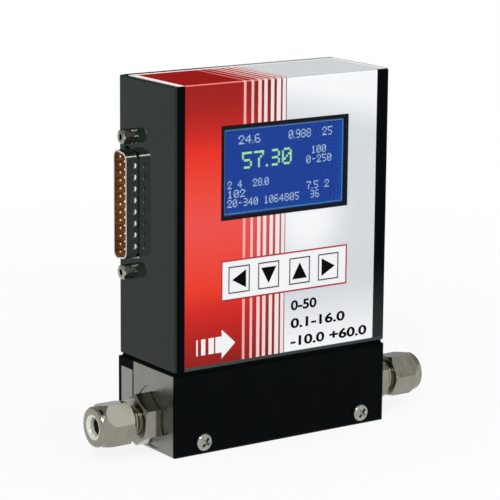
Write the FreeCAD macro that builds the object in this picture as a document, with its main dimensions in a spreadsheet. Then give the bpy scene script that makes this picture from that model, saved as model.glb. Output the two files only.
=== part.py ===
import FreeCAD, Part
import Sketcher
import os
import re
from FreeCAD import Placement, Rotation, Vector

# Gas flow meter: a stainless flow body with tube fittings at both ends, and above it a black
# sheet-metal housing with a display, film keys and a 25-way connector.
# Millimetres. X runs to the right, Y to the rear, Z up. The origin is at the middle of the base.

doc = FreeCAD.newDocument("GasFlowMeter")
sheet = doc.addObject("Spreadsheet::Sheet", "Sizes")

driving_sizes = [
    # Housing
    ("housing_width", 88.9), ("housing_depth", 35.6), ("total_height", 128.0),
    ("housing_wall", 1.2), ("housing_bend", 0.6), ("seam_chamfer", 0.9),
    ("tab_length", 8.0), ("tab_reach", 6.0), ("cover_screw_inset", 4.05),
    ("cover_screw_radius", 1.42), ("cover_screw_offset", 9.5),
    ("cover_head_radius", 2.3), ("cover_head_height", 2.8), ("cover_head_depth", 3.4),
    ("cover_socket_depth", 1.5),
    ("clinch_nut_radius", 2.6), ("clinch_nut_height", 2.2),
    # Gasket between housing and base
    ("gasket_thickness", 0.8), ("gasket_inset", 0.6), ("gasket_width", 5.0),
    # Base plates and bar
    ("base_depth", 37.32), ("front_plate_thickness", 2.1), ("rear_plate_thickness", 1.8),
    ("rear_flange_height", 3.3), ("bar_gap", 0.8), ("plate_chamfer", 0.9),
    ("plate_screw_spacing", 67.0), ("plate_screw_height", 4.7), ("plate_screw_radius", 1.6),
    ("plate_screw_grip", 6.5), ("screw_tip_room", 0.5), ("pan_head_radius", 3.1),
    ("pan_head_height", 1.8), ("pan_crown_radius", 1.9), ("pan_shoulder_radius", 2.8),
    ("pan_shoulder_height", 1.35), ("pan_rim_height", 0.65),
    ("cross_width", 0.8), ("cross_span", 3.6), ("cross_depth", 1.0),
    # Flow body
    ("block_height", 28.5), ("block_depth", 25.4), ("port_height", 11.6),
    ("port_face_radius", 11.0), ("port_face_depth", 0.4), ("port_radius", 6.6),
    ("port_depth", 13.0), ("passage_radius", 5.5), ("tap_radius", 1.0), ("tap_spacing", 42.0),
    ("probe_spacing", 56.0), ("foot_hole_radius", 1.75), ("foot_hole_depth", 8.0),
    ("foot_hole_spacing", 40.0), ("foot_hole_offset", 9.2),
    # Laminar element
    ("element_length", 34.0), ("element_clearance", 0.05), ("channel_flats", 1.6),
    ("channel_pitch", 2.1), ("ring_section", 1.1), ("ring_gap", 3.0),
    # Tube fittings
    ("tube_radius", 3.2), ("fitting_bore", 2.4), ("shank_clearance", 0.05),
    ("shank_length", 11.5), ("body_hex", 15.9), ("body_hex_length", 8.2), ("neck_radius", 5.55),
    ("neck_length", 11.2), ("tube_stop", 12.5), ("mouth_radius", 4.6), ("mouth_depth", 2.4),
    ("nut_start", 11.8), ("nut_hex", 14.29), ("nut_length", 12.7), ("nut_seat", 8.2),
    ("nut_thread_radius", 5.65), ("nut_face_radius", 7.0), ("nut_mouth_radius", 4.1),
    ("nut_collar", 2.0), ("nut_bevel", 2.3), ("nut_face_edge", 0.7), ("nut_edge", 0.7),
    ("neck_edge", 0.4), ("hex_edge", 0.6), ("shank_edge", 0.8), ("body_turn", 30.0), ("inlet_nut_turn", 9.0),
    ("outlet_nut_turn", 0.0), ("ferrule_clearance", 0.06), ("ferrule_rim", 0.5),
    ("ferrule_nose", 0.3), ("ferrule_hollow", 0.4), ("ferrule_heel", 0.2),
    # Sensors on top of the flow body
    ("sensor_width", 46.0), ("sensor_depth", 12.0), ("sensor_height", 8.0),
    ("spigot_radius", 1.7), ("spigot_length", 1.2), ("seal_pocket_radius", 3.2),
    ("seal_pocket_depth", 1.4), ("seal_section", 1.1), ("can_radius", 4.0), ("probe_radius", 3.3),
    ("probe_tip_radius", 0.85), ("probe_reach", 14.0), ("board_thickness", 1.6),
    ("sensor_board_overhang", 5.0), ("sensor_board_margin", 2.0),
    # Chassis and boards
    ("chassis_thickness", 1.2), ("chassis_side_gap", 8.25), ("chassis_rise", 16.0),
    ("chassis_clearance", 0.3), ("chassis_screw_spacing", 50.0), ("chassis_screw_radius", 0.8),
    ("chassis_screw_length", 6.0), ("foot_head_radius", 1.55), ("board_screw_radius", 1.25),
    ("board_head_radius", 2.3), ("small_head_height", 1.5),
    ("board_side_gap", 6.75), ("board_foot_gap", 4.5), ("board_top_gap", 4.1),
    ("board_screw_inset", 7.5), ("board_screw_rise", 6.0),
    ("spacer_hex", 5.0), ("spacer_side_inset", 6.5), ("spacer_end_inset", 3.0),
    ("spacer_bore", 1.3), ("spacer_screw_grip", 5.0), ("chip_side", 12.0), ("chip_height", 2.2),
    ("chip_pitch", 21.0), ("capacitor_radius", 3.0), ("capacitor_height", 5.4),
    ("capacitor_pitch", 9.0), ("capacitor_rise", 18.0), ("stack_length", 26.0), ("stack_width", 5.0),
    # Display
    ("display_left", 18.1), ("display_width", 53.3), ("display_top", 14.8),
    ("display_tall", 32.5), ("display_border", 1.4), ("display_gap", 0.1),
    ("bezel_sink", 0.12), ("bezel_lip", 3.0), ("bezel_back", 2.0), ("window_thickness", 0.8),
    ("window_sink", 0.12), ("display_board_tall", 50.9),
    # Film keys
    ("overlay_thickness", 0.3), ("overlay_side", 0.8),
    ("overlay_low", 30.2), ("overlay_back", 2.0), ("key_left", 18.3), ("key_width", 53.2),
    ("key_top", 61.8), ("key_tall", 14.1), ("key_margin", 0.8), ("key_pitch", 12.5),
    ("dome_radius", 3.6), ("dome_rise", 0.7), ("dome_sheet", 0.25), ("dome_clearance", 0.2),
    ("dome_knee_radius", 2.2), ("dome_knee_rise", 0.52), ("backing_margin", 3.0),
    ("backing_thickness", 1.0),
    # Connector
    ("plug_height", 84.1), ("plug_rear_inset", 8.3), ("plug_rise", 6.1), ("plug_long", 38.96),
    ("plug_short", 8.36), ("plug_slant", 10.0), ("plug_corner", 2.6), ("plug_sheet", 0.5),
    ("plug_clearance", 0.35), ("flange_long", 53.04), ("flange_short", 12.55),
    ("flange_sheet", 0.8), ("screw_spacing", 47.04), ("screw_radius", 1.4),
    ("screw_clearance", 0.12), ("dimple_radius", 0.9), ("dimple_depth", 0.22),
    ("dimple_pitch", 4.0), ("dimple_level", 3.3), ("pin_pitch", 2.77), ("row_pitch", 2.84),
    ("pin_radius", 0.5), ("pin_recess", 0.75), ("pin_point", 0.4), ("pin_point_radius", 0.34),
    ("pin_tail", 9.2),
    ("insulator_rise", 1.1), ("insulator_gap", 0.05), ("insulator_back", 5.4),
    ("insulator_back_long", 38.6), ("insulator_back_short", 10.2), ("rear_sheet", 0.6),
    ("lock_hex", 4.8), ("lock_length", 4.8), ("lock_stud", 5.0), ("lock_bore", 1.1),
    ("lock_bore_depth", 3.6), ("lock_tip_radius", 2.15), ("lock_nut_hex", 4.8), ("lock_nut_height", 2.2),
]
for row, (alias, value) in enumerate(driving_sizes, start=1):
    sheet.set(f"A{row}", alias.replace("_", " "))
    sheet.set(f"B{row}", str(value))
    sheet.setAlias(f"B{row}", alias)
aliases = {alias for alias, value in driving_sizes}
doc.recompute()

sub_parts = []
X_WAYS = Rotation(Vector(0, 1, 0), 90)
Y_WAYS = Rotation(Vector(1, 0, 0), -90)
UPRIGHT = Rotation()
KEY_COUNT = 4
DIMPLE_COUNT = 8
REAR_PIN_COUNT = 13
FRONT_PIN_COUNT = 12

# Places that several pieces share, as formulas of the sheet's cells
half_width = "(housing_width / 2)"
front_face = "(-housing_depth / 2)"
rear_face = "(housing_depth / 2)"
front_inside = "(-housing_depth / 2 + housing_wall)"
housing_top = "(total_height - overlay_thickness)"
housing_bottom = "(block_height + gasket_thickness)"
base_front = "(-base_depth / 2)"
base_rear = "(base_depth / 2)"
block_front = "(-base_depth / 2 + front_plate_thickness)"
block_rear = "(-base_depth / 2 + front_plate_thickness + block_depth)"
port_line = "(-base_depth / 2 + front_plate_thickness + block_depth / 2)"
plate_back_inside = "(base_depth / 2 - rear_plate_thickness)"
cover_screw_x = "(housing_width / 2 - cover_screw_inset)"
cover_screw_y = f"({port_line} + cover_screw_offset)"
foot_hole_y = f"({port_line} + foot_hole_offset)"
overlay_front = "(-housing_depth / 2 - overlay_thickness)"
display_x = "(-housing_width / 2 + display_left + display_width / 2)"
display_z = "(total_height - display_top - display_tall / 2)"
key_x = "(-housing_width / 2 + key_left + key_width / 2)"
key_z = "(total_height - key_top - key_tall / 2)"
plug_y = "(housing_depth / 2 - plug_rear_inset)"
board_back = f"({plug_y} + board_thickness / 2)"
board_front = f"({plug_y} - board_thickness / 2)"
chassis_front = f"({plug_y} - board_thickness / 2 - chassis_thickness)"
chassis_foot_front = f"({port_line} + sensor_depth / 2 + chassis_clearance)"
chassis_screw_y = f"(({chassis_foot_front} + {chassis_front}) / 2)"
bezel_rear = "(-housing_depth / 2 + housing_wall + bezel_back)"
display_board_back = "(-housing_depth / 2 + housing_wall + bezel_back + board_thickness)"
board_half = "(housing_width / 2 - housing_wall - board_side_gap)"
board_bottom = "(block_height + board_foot_gap)"
board_top = "(total_height - overlay_thickness - housing_wall - board_top_gap)"
board_screw_x = f"({board_half} - board_screw_inset)"
board_screw_z = f"({board_bottom} + board_screw_rise)"
spacer_x = f"({board_half} - spacer_side_inset)"
spacer_low = f"({board_top} - display_board_tall + spacer_end_inset)"
spacer_high = f"({board_top} - spacer_end_inset)"
left_face = "(-housing_width / 2)"
left_inside = "(-housing_width / 2 + housing_wall)"
flange_back = "(-housing_width / 2 + housing_wall + flange_sheet)"
plug_rim = "(-housing_width / 2 + housing_wall - plug_rise)"
sensor_top = "(block_height + sensor_height)"


def formula(text):
    """Point each sheet name in a formula at the sheet."""
    def refer(word):
        return "Sizes." + word.group() if word.group() in aliases else word.group()
    return re.sub(r"[a-z][a-z_]+", refer, str(text))


def place(obj, x, y, z, turn=UPRIGHT):
    """Give an object its turn and bind its place."""
    obj.Placement = Placement(Vector(), turn)
    for axis, text in zip("xyz", (x, y, z)):
        obj.setExpression(f"Placement.Base.{axis}", formula(text))
    return obj


def name_part(obj, label):
    """Mark a finished sub-part and give it its label."""
    obj.Label = label
    sub_parts.append(obj)
    return obj


def slab(name, xs, ys, zs):
    """A box between pairs of limits."""
    box = doc.addObject("Part::Box", name)
    for side, (low, high) in zip(("Length", "Width", "Height"), (xs, ys, zs)):
        box.setExpression(side, formula(f"({high}) - ({low})"))
    return place(box, xs[0], ys[0], zs[0])


def rod(name, radius, length, x, y, z, turn=UPRIGHT):
    """A cylinder that starts at a point."""
    cylinder = doc.addObject("Part::Cylinder", name)
    cylinder.setExpression("Radius", formula(radius))
    cylinder.setExpression("Height", formula(length))
    return place(cylinder, x, y, z, turn)


def taper(name, radius, end_radius, length, x, y, z, turn=UPRIGHT):
    """A cone that starts at a point."""
    cone = doc.addObject("Part::Cone", name)
    cone.setExpression("Radius1", formula(radius))
    cone.setExpression("Radius2", formula(end_radius))
    cone.setExpression("Height", formula(length))
    return place(cone, x, y, z, turn)


def prism(name, sides, radius, length, x, y, z, turn=UPRIGHT):
    """A bar with a regular outline, by the radius to its corners."""
    bar = doc.addObject("Part::Prism", name)
    bar.Polygon = sides
    bar.setExpression("Circumradius", formula(radius))
    bar.setExpression("Height", formula(length))
    return place(bar, x, y, z, turn)


def hexagon(name, flats, length, x, y, z, turn=UPRIGHT):
    """A hexagon bar by the width across its flats."""
    return prism(name, 6, f"({flats}) / 2 / cos(30)", length, x, y, z, turn)


def join(name, *parts):
    """One solid from several."""
    fused = doc.addObject("Part::MultiFuse", name)
    fused.Shapes = list(parts)
    fused.Refine = True
    return fused


def cut(name, base, *tools):
    """A solid less its tools."""
    tool = tools[0] if len(tools) == 1 else join(name + "_tools", *tools)
    carved = doc.addObject("Part::Cut", name)
    carved.Base = base
    carved.Tool = tool
    return carved


def group(name, *parts):
    """Separate like solids in one sub-part."""
    bundle = doc.addObject("Part::Compound", name)
    bundle.Links = list(parts)
    return bundle


def body_of(name):
    return doc.addObject("PartDesign::Body", name)


def sketch_on(body, face, name, at="0"):
    """An empty sketch on one of the body's own planes, moved along its normal to a coordinate."""
    plane = [item for item in body.Origin.OriginFeatures if item.Role == face + "_Plane"][0]
    sketch = body.newObject("Sketcher::SketchObject", name)
    sketch.AttachmentSupport = [(plane, "")]
    sketch.MapMode = "FlatFace"
    sign = "-" if face == "XZ" else ""
    sketch.setExpression("AttachmentOffset.Base.z", formula(f"{sign}({at})"))
    return sketch


def tie_point(sketch, geometry, point, x, y):
    """Bind both coordinates of a sketch point."""
    for kind, text in (("DistanceX", x), ("DistanceY", y)):
        index = sketch.addConstraint(Sketcher.Constraint(kind, -1, 1, geometry, point, 0.0))
        label = f"{kind}_{geometry}"
        sketch.renameConstraint(index, label)
        sketch.setExpression(f"Constraints.{label}", formula(text))


def add_outline(sketch, corners):
    """A closed outline of straight lines, each corner bound to a pair of formulas."""
    first = sketch.GeometryCount
    count = len(corners)
    for step in range(count):
        start = Vector(step, step * step, 0)
        end = Vector((step + 1) % count, ((step + 1) % count) ** 2, 0)
        sketch.addGeometry(Part.LineSegment(start, end), False)
    for step in range(count):
        following = first + (step + 1) % count
        sketch.addConstraint(Sketcher.Constraint("Coincident", first + step, 2, following, 1))
    for step, (x, y) in enumerate(corners):
        tie_point(sketch, first + step, 1, x, y)


def add_rectangle(sketch, low_x, high_x, low_y, high_y):
    add_outline(sketch, [(low_x, low_y), (high_x, low_y), (high_x, high_y), (low_x, high_y)])


def add_circle(sketch, x, y, radius):
    """A circle with its centre and radius bound."""
    index = sketch.addGeometry(Part.Circle(Vector(), Vector(0, 0, 1), 1.0), False)
    tie_point(sketch, index, 3, x, y)
    constraint = sketch.addConstraint(Sketcher.Constraint("Radius", index, 1.0))
    sketch.renameConstraint(constraint, f"Radius_{index}")
    sketch.setExpression(f"Constraints.Radius_{index}", formula(radius))


def raise_pad(body, sketch, length, towards):
    """A pad towards the plus or minus side of its plane."""
    pad = body.newObject("PartDesign::Pad", sketch.Name + "_pad")
    pad.Profile = sketch
    pad.setExpression("Length", formula(length))
    pad.Reversed = (towards > 0) == sketch_faces_back(sketch)
    return pad


def sink_pocket(body, sketch, length, towards):
    """A pocket towards the plus or minus side of its plane."""
    pocket = body.newObject("PartDesign::Pocket", sketch.Name + "_pocket")
    pocket.Profile = sketch
    pocket.setExpression("Length", formula(length))
    pocket.Reversed = (towards > 0) != sketch_faces_back(sketch)
    return pocket


def sketch_faces_back(sketch):
    """The XZ plane's normal points along minus Y, the other planes' along plus."""
    return sketch.AttachmentSupport[0][0].Role == "XZ_Plane"


def turn_about(body, sketch, axis):
    """A full turn of a profile about one of its sketch's axes."""
    turned = body.newObject("PartDesign::Revolution", sketch.Name + "_turned")
    turned.Profile = sketch
    turned.ReferenceAxis = (sketch, [axis])
    turned.Angle = 360
    return turned


def edge_names(shape, wanted):
    return [f"Edge{index}" for index, edge in enumerate(shape.Edges, start=1) if wanted(edge)]


def runs_along(edge, axis):
    """Whether a straight edge runs along X, Y or Z."""
    if edge.Curve.TypeId != "Part::GeomLine":
        return False
    return abs(abs(edge.Curve.Direction[axis]) - 1) < 1e-6


def soften(body, base, kind, size, wanted):
    """A fillet or chamfer on the edges of a feature that pass a test."""
    doc.recompute()
    softened = body.newObject("PartDesign::" + kind, base.Name + "_" + kind.lower())
    softened.Base = (base, edge_names(base.Shape, wanted))
    softened.setExpression("Radius" if kind == "Fillet" else "Size", formula(size))
    return softened


def cell(alias):
    """The number that a sheet cell holds."""
    return float(sheet.get(alias))


def make_flow_body():
    """Stainless block, bored from end to end, with tapped ports and sensor taps."""
    body = body_of("FlowBody")
    profile = sketch_on(body, "YZ", "FlowSection", f"-{half_width}")
    add_rectangle(profile, block_front, block_rear, "0", "block_height")
    raise_pad(body, profile, "housing_width", 1)
    passage = sketch_on(body, "YZ", "Passage", f"-{half_width}")
    add_circle(passage, port_line, "port_height", "passage_radius")
    sink_pocket(body, passage, "housing_width", 1)
    for side, towards in (("Left", 1), ("Right", -1)):
        end = f"{-towards} * {half_width}"
        port = sketch_on(body, "YZ", side + "Port", end)
        add_circle(port, port_line, "port_height", "port_radius")
        sink_pocket(body, port, "port_depth", towards)
        face = sketch_on(body, "YZ", side + "PortFace", end)
        add_circle(face, port_line, "port_height", "port_face_radius")
        sink_pocket(body, face, "port_face_depth", towards)
    taps = sketch_on(body, "XY", "Taps", "block_height")
    pockets = sketch_on(body, "XY", "SealPockets", "block_height")
    for spacing in ("tap_spacing", "probe_spacing"):
        for sign in ("-", ""):
            add_circle(taps, f"{sign}{spacing} / 2", port_line, "tap_radius")
            add_circle(pockets, f"{sign}{spacing} / 2", port_line, "seal_pocket_radius")
    sink_pocket(body, taps, "block_height - port_height", -1)
    sink_pocket(body, pockets, "seal_pocket_depth", -1)
    for name, y, towards in (("FrontScrew", block_front, 1), ("RearScrew", block_rear, -1)):
        holes = sketch_on(body, "XZ", name + "Holes", y)
        for sign in ("-", ""):
            add_circle(holes, f"{sign}plate_screw_spacing / 2", "plate_screw_height", "plate_screw_radius")
        sink_pocket(body, holes, "plate_screw_grip + screw_tip_room", towards)
    feet = sketch_on(body, "XY", "FootHoles")
    cover = sketch_on(body, "XY", "CoverScrewHoles")
    heads = sketch_on(body, "XY", "CoverScrewHeads")
    chassis = sketch_on(body, "XY", "ChassisHoles", "block_height")
    for sign in ("-", ""):
        add_circle(feet, f"{sign}foot_hole_spacing / 2", foot_hole_y, "foot_hole_radius")
        add_circle(cover, f"{sign}{cover_screw_x}", cover_screw_y, "cover_screw_radius + screw_clearance")
        add_circle(heads, f"{sign}{cover_screw_x}", cover_screw_y, "cover_head_radius + screw_clearance")
        add_circle(chassis, f"{sign}chassis_screw_spacing / 2",
                   chassis_screw_y, "chassis_screw_radius")
    sink_pocket(body, feet, "foot_hole_depth", 1)
    sink_pocket(body, cover, "block_height", 1)
    sink_pocket(body, heads, "cover_head_depth", 1)
    sink_pocket(body, chassis, "chassis_screw_length", -1)
    name_part(body, "flow_body")


def make_laminar_element():
    """Core with a honeycomb of fine straight passages, held by a spring ring at each end."""
    start = "(-element_length / 2)"
    core = rod("ElementCore", "passage_radius - element_clearance", "element_length",
               start, port_line, "port_height", X_WAYS)
    channels = []
    for column in range(-2, 3):
        rows = 5 - abs(column)
        for row in range(rows):
            y = f"({port_line} + {column} * channel_pitch * cos(30))"
            z = f"(port_height + {row - (rows - 1) / 2} * channel_pitch)"
            channels.append(hexagon(f"Channel{column + 2}{row}", "channel_flats", "element_length + 2",
                                    f"{start} - 1", y, z, X_WAYS))
    name_part(cut("LaminarElement", core, *channels), "laminar_element")
    rings = []
    for sign, name in ((-1, "LeftRing"), (1, "RightRing")):
        low = f"({sign} * (element_length / 2 + ring_section / 2) - ring_section / 2)"
        outer = rod(name + "Outer", "passage_radius", "ring_section", low, port_line, "port_height",
                    X_WAYS)
        inner = rod(name + "Inner", "passage_radius - ring_section", "ring_section + 2",
                    f"{low} - 1", port_line, "port_height", X_WAYS)
        mouth = slab(name + "Mouth", (f"{low} - 1", f"{low} + ring_section + 1"),
                     (f"{port_line} - ring_gap / 2", f"{port_line} + ring_gap / 2"),
                     ("port_height", "port_height + 2 * passage_radius"))
        rings.append(cut(name, outer, inner, mouth))
    name_part(group("ElementRings", *rings), "element_rings")


def fitting_profile(body, name, sign, corners):
    """A profile over the port's line: distance out from the block's end face, and radius."""
    sketch = sketch_on(body, "XZ", name, "0")
    add_outline(sketch, [(f"{sign} * ({reach})", radius) for reach, radius in corners])
    return sketch


def seat_fitting(obj, sign, turn="0"):
    """Put a piece that was drawn along the X axis on the port's line, turned as it was tightened."""
    place(obj, f"{sign} * ({half_width} - port_face_depth)", port_line, "port_height",
          Rotation(Vector(1, 0, 0), 1))
    obj.setExpression("Placement.Rotation.Angle", formula(turn))
    return obj


def hex_trim(body, name, sign, reach, length, flats):
    """Mill six flats on a turned blank."""
    trim = sketch_on(body, "YZ", name, f"{sign} * ({reach})")
    add_circle(trim, "0", "0", f"({flats})")
    add_outline(trim, [(f"({flats}) / 2 / cos(30) * cos({angle})", f"({flats}) / 2 / cos(30) * sin({angle})")
                       for angle in range(0, 360, 60)])
    sink_pocket(body, trim, length, sign)


def make_fitting(side, sign, nut_turn):
    """Turned connector body, screwed into the port, and its nut, for one quarter-inch tube."""
    inner = "-shank_length"
    mouth = "(body_hex_length + neck_length)"
    body = body_of(side + "Connector")
    blank = fitting_profile(body, side + "ConnectorProfile", sign, [
        (inner, "fitting_bore"), ("tube_stop", "fitting_bore"), ("tube_stop", "tube_radius"),
        (f"{mouth} - mouth_depth", "tube_radius"), (mouth, "mouth_radius"),
        (mouth, "neck_radius - neck_edge"), (f"{mouth} - neck_edge", "neck_radius"),
        ("body_hex_length", "neck_radius"), ("body_hex_length", "body_hex / 2"),
        ("body_hex_length - hex_edge", "body_hex / 2 / cos(30)"), ("0", "body_hex / 2 / cos(30)"),
        ("0", "port_radius - shank_clearance"),
        (f"{inner} + shank_edge", "port_radius - shank_clearance"),
        (inner, "port_radius - shank_edge")])
    turn_about(body, blank, "H_Axis")
    hex_trim(body, side + "ConnectorFlats", sign, "0", "body_hex_length", "body_hex")
    seat_fitting(body, sign, "body_turn")
    name_part(body, side.lower() + "_connector")

    nut = body_of(side + "Nut")
    face = "(nut_start + nut_length)"
    seat = "(nut_start + nut_seat)"
    collar = f"({face} - nut_collar)"
    bevel = f"({face} - nut_collar - nut_bevel)"
    blank = fitting_profile(nut, side + "NutProfile", sign, [
        ("nut_start", "nut_thread_radius"), (seat, "nut_thread_radius"),
        (f"{seat} + nut_thread_radius - tube_radius", "tube_radius"),
        (f"{face} - nut_mouth_radius + tube_radius", "tube_radius"), (face, "nut_mouth_radius"),
        (face, "nut_face_radius - nut_face_edge"), (f"{face} - nut_face_edge", "nut_face_radius"),
        (collar, "nut_face_radius"), (bevel, "nut_hex / 2 / cos(30)"),
        ("nut_start + nut_edge", "nut_hex / 2 / cos(30)"), ("nut_start", "nut_hex / 2")])
    turn_about(nut, blank, "H_Axis")
    hex_trim(nut, side + "NutFlats", sign, "nut_start", "nut_length - nut_collar", "nut_hex")
    seat_fitting(nut, sign, nut_turn)
    name_part(nut, side.lower() + "_nut")

    front = body_of(side + "FrontFerrule")
    slope = "((mouth_radius - tube_radius) / mouth_depth)"
    nose = f"({mouth} - mouth_depth + ferrule_nose)"
    rim = "(mouth_radius - ferrule_clearance)"
    profile = fitting_profile(front, side + "FrontFerruleProfile", sign, [
        (nose, "tube_radius"), (f"{mouth} + ferrule_rim - ferrule_hollow", "tube_radius"),
        (f"{mouth} + ferrule_rim", "tube_radius + ferrule_hollow"), (f"{mouth} + ferrule_rim", rim),
        (mouth, rim), (nose, f"tube_radius + ferrule_nose * {slope} - ferrule_clearance")])
    turn_about(front, profile, "H_Axis")
    seat_fitting(front, sign)

    back = body_of(side + "BackFerrule")
    start = f"({mouth} + ferrule_rim + ferrule_clearance)"
    tail = f"({seat} + nut_thread_radius - tube_radius - ferrule_heel)"
    heel = f"({seat} + nut_thread_radius - {rim} - ferrule_heel / 2)"
    profile = fitting_profile(back, side + "BackFerruleProfile", sign, [
        (start, "tube_radius"), (tail, "tube_radius"), (tail, "tube_radius + ferrule_heel / 2"),
        (heel, rim), (start, rim)])
    turn_about(back, profile, "H_Axis")
    seat_fitting(back, sign)
    return front, back


def make_fittings():
    pairs = [make_fitting("Inlet", -1, "inlet_nut_turn"), make_fitting("Outlet", 1, "outlet_nut_turn")]
    name_part(group("FrontFerrules", *[pair[0] for pair in pairs]), "front_ferrules")
    name_part(group("BackFerrules", *[pair[1] for pair in pairs]), "back_ferrules")


def make_front_plate():
    """Black plate with chamfered edges that covers the front of the flow body."""
    body = body_of("FrontPlate")
    profile = sketch_on(body, "XZ", "FrontPlateOutline", block_front)
    add_rectangle(profile, f"-{half_width}", half_width, "0", "block_height")
    for sign in ("-", ""):
        add_circle(profile, f"{sign}plate_screw_spacing / 2", "plate_screw_height",
                   "plate_screw_radius + screw_clearance")
    plate = raise_pad(body, profile, "front_plate_thickness", -1)

    def front_rim(edge):
        return edge.Curve.TypeId == "Part::GeomLine" and all(
            abs(point.y + cell("base_depth") / 2) < 1e-4 for point in
            (edge.Vertexes[0].Point, edge.Vertexes[-1].Point))
    soften(body, plate, "Chamfer", "plate_chamfer", front_rim)
    name_part(body, "front_plate")


def make_rear_plate():
    """Black angle: a plate behind the bar with a flange that reaches forward to the flow body."""
    body = body_of("RearPlate")
    profile = sketch_on(body, "YZ", "RearPlateSection", f"-{half_width}")
    add_outline(profile, [
        (plate_back_inside, "0"), (base_rear, "0"), (base_rear, "block_height"),
        (block_rear, "block_height"), (block_rear, "block_height - rear_flange_height"),
        (plate_back_inside, "block_height - rear_flange_height")])
    raise_pad(body, profile, "housing_width", 1)
    holes = sketch_on(body, "XZ", "RearPlateHoles", plate_back_inside)
    for sign in ("-", ""):
        add_circle(holes, f"{sign}plate_screw_spacing / 2", "plate_screw_height",
                   "plate_screw_radius + screw_clearance")
    sink_pocket(body, holes, "rear_plate_thickness", 1)
    name_part(body, "rear_plate")


def make_rear_bar():
    """Aluminium bar behind the flow body, clamped by the rear plate's screws."""
    bar = slab("RearBarStock", (f"-{half_width}", half_width),
               (f"{block_rear} + bar_gap", plate_back_inside),
               ("0", "block_height - rear_flange_height"))
    holes = [rod(f"RearBarHole{index}", "plate_screw_radius + screw_clearance",
                 f"{plate_back_inside} - {block_rear}", f"{sign}plate_screw_spacing / 2",
                 block_rear, "plate_screw_height", Y_WAYS)
             for index, sign in enumerate(("-", ""))]
    name_part(cut("RearBar", bar, *holes), "rear_bar")


def pan_screw(name, x, y, z, facing, length):
    """Pan-head screw with a cross recess. It points away from its head, along Y."""
    body = body_of(name)
    profile = sketch_on(body, "XY", name + "Profile", "0")
    add_outline(profile, [
        ("0", f"{facing} * pan_head_height"), ("pan_crown_radius", f"{facing} * pan_head_height"),
        ("pan_shoulder_radius", f"{facing} * pan_shoulder_height"),
        ("pan_head_radius", f"{facing} * pan_rim_height"), ("pan_head_radius", "0"),
        ("plate_screw_radius", "0"), ("plate_screw_radius", f"{-facing} * ({length})"),
        ("0", f"{-facing} * ({length})")])
    turn_about(body, profile, "V_Axis")
    for index, (wide, tall) in enumerate((("cross_span", "cross_width"), ("cross_width", "cross_span"))):
        slot = sketch_on(body, "XZ", f"{name}Slot{index}", f"{facing} * pan_head_height")
        add_rectangle(slot, f"-{wide} / 2", f"{wide} / 2", f"-{tall} / 2", f"{tall} / 2")
        sink_pocket(body, slot, "cross_depth", -facing)
    return place(body, x, y, z)


def make_plate_screws():
    """Two screws in front through the plate, two behind through the angle and the bar."""
    front = [pan_screw(f"FrontScrew{index}", f"{sign}plate_screw_spacing / 2", base_front,
                       "plate_screw_height", -1, "front_plate_thickness + plate_screw_grip")
             for index, sign in enumerate(("-", ""))]
    name_part(group("FrontPlateScrews", *front), "front_plate_screws")
    long_grip = f"{base_rear} - {block_rear} + plate_screw_grip"
    rear = [pan_screw(f"RearScrew{index}", f"{sign}plate_screw_spacing / 2", base_rear,
                      "plate_screw_height", 1, long_grip)
            for index, sign in enumerate(("-", ""))]
    name_part(group("RearPlateScrews", *rear), "rear_plate_screws")


def make_gasket():
    """Flat rubber frame on top of the base, under the housing's rim."""
    edge_x = f"({half_width} - gasket_inset)"
    edge_y = "(housing_depth / 2 - gasket_inset)"
    sheet_piece = slab("GasketSheet", (f"-{edge_x}", edge_x), (f"-{edge_y}", edge_y),
                       ("block_height", housing_bottom))
    opening = slab("GasketOpening", (f"-{edge_x} + gasket_width", f"{edge_x} - gasket_width"),
                   (f"-{edge_y} + gasket_width", f"{edge_y} - gasket_width"),
                   ("block_height - 1", f"{housing_bottom} + 1"))
    holes = [rod(f"GasketHole{index}", "cover_screw_radius + screw_clearance",
                 "gasket_thickness + 2", f"{sign}{cover_screw_x}", cover_screw_y, "block_height - 1")
             for index, sign in enumerate(("-", ""))]
    name_part(cut("HousingGasket", sheet_piece, opening, *holes), "housing_gasket")


def plug_outline(grow):
    """The connector's D: its wide side is towards the rear, and its ends slope inwards."""
    wide = f"(plug_long / 2 + {grow} * (1 / cos(plug_slant) + tan(plug_slant)))"
    narrow = (f"(plug_long / 2 - plug_short * tan(plug_slant)"
              f" + {grow} * (1 / cos(plug_slant) - tan(plug_slant)))")
    rear = f"({plug_y} + plug_short / 2 + {grow})"
    front = f"({plug_y} - plug_short / 2 - {grow})"
    return [(rear, f"plug_height - {wide}"), (rear, f"plug_height + {wide}"),
            (front, f"plug_height + {narrow}"), (front, f"plug_height - {narrow}")]


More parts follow.
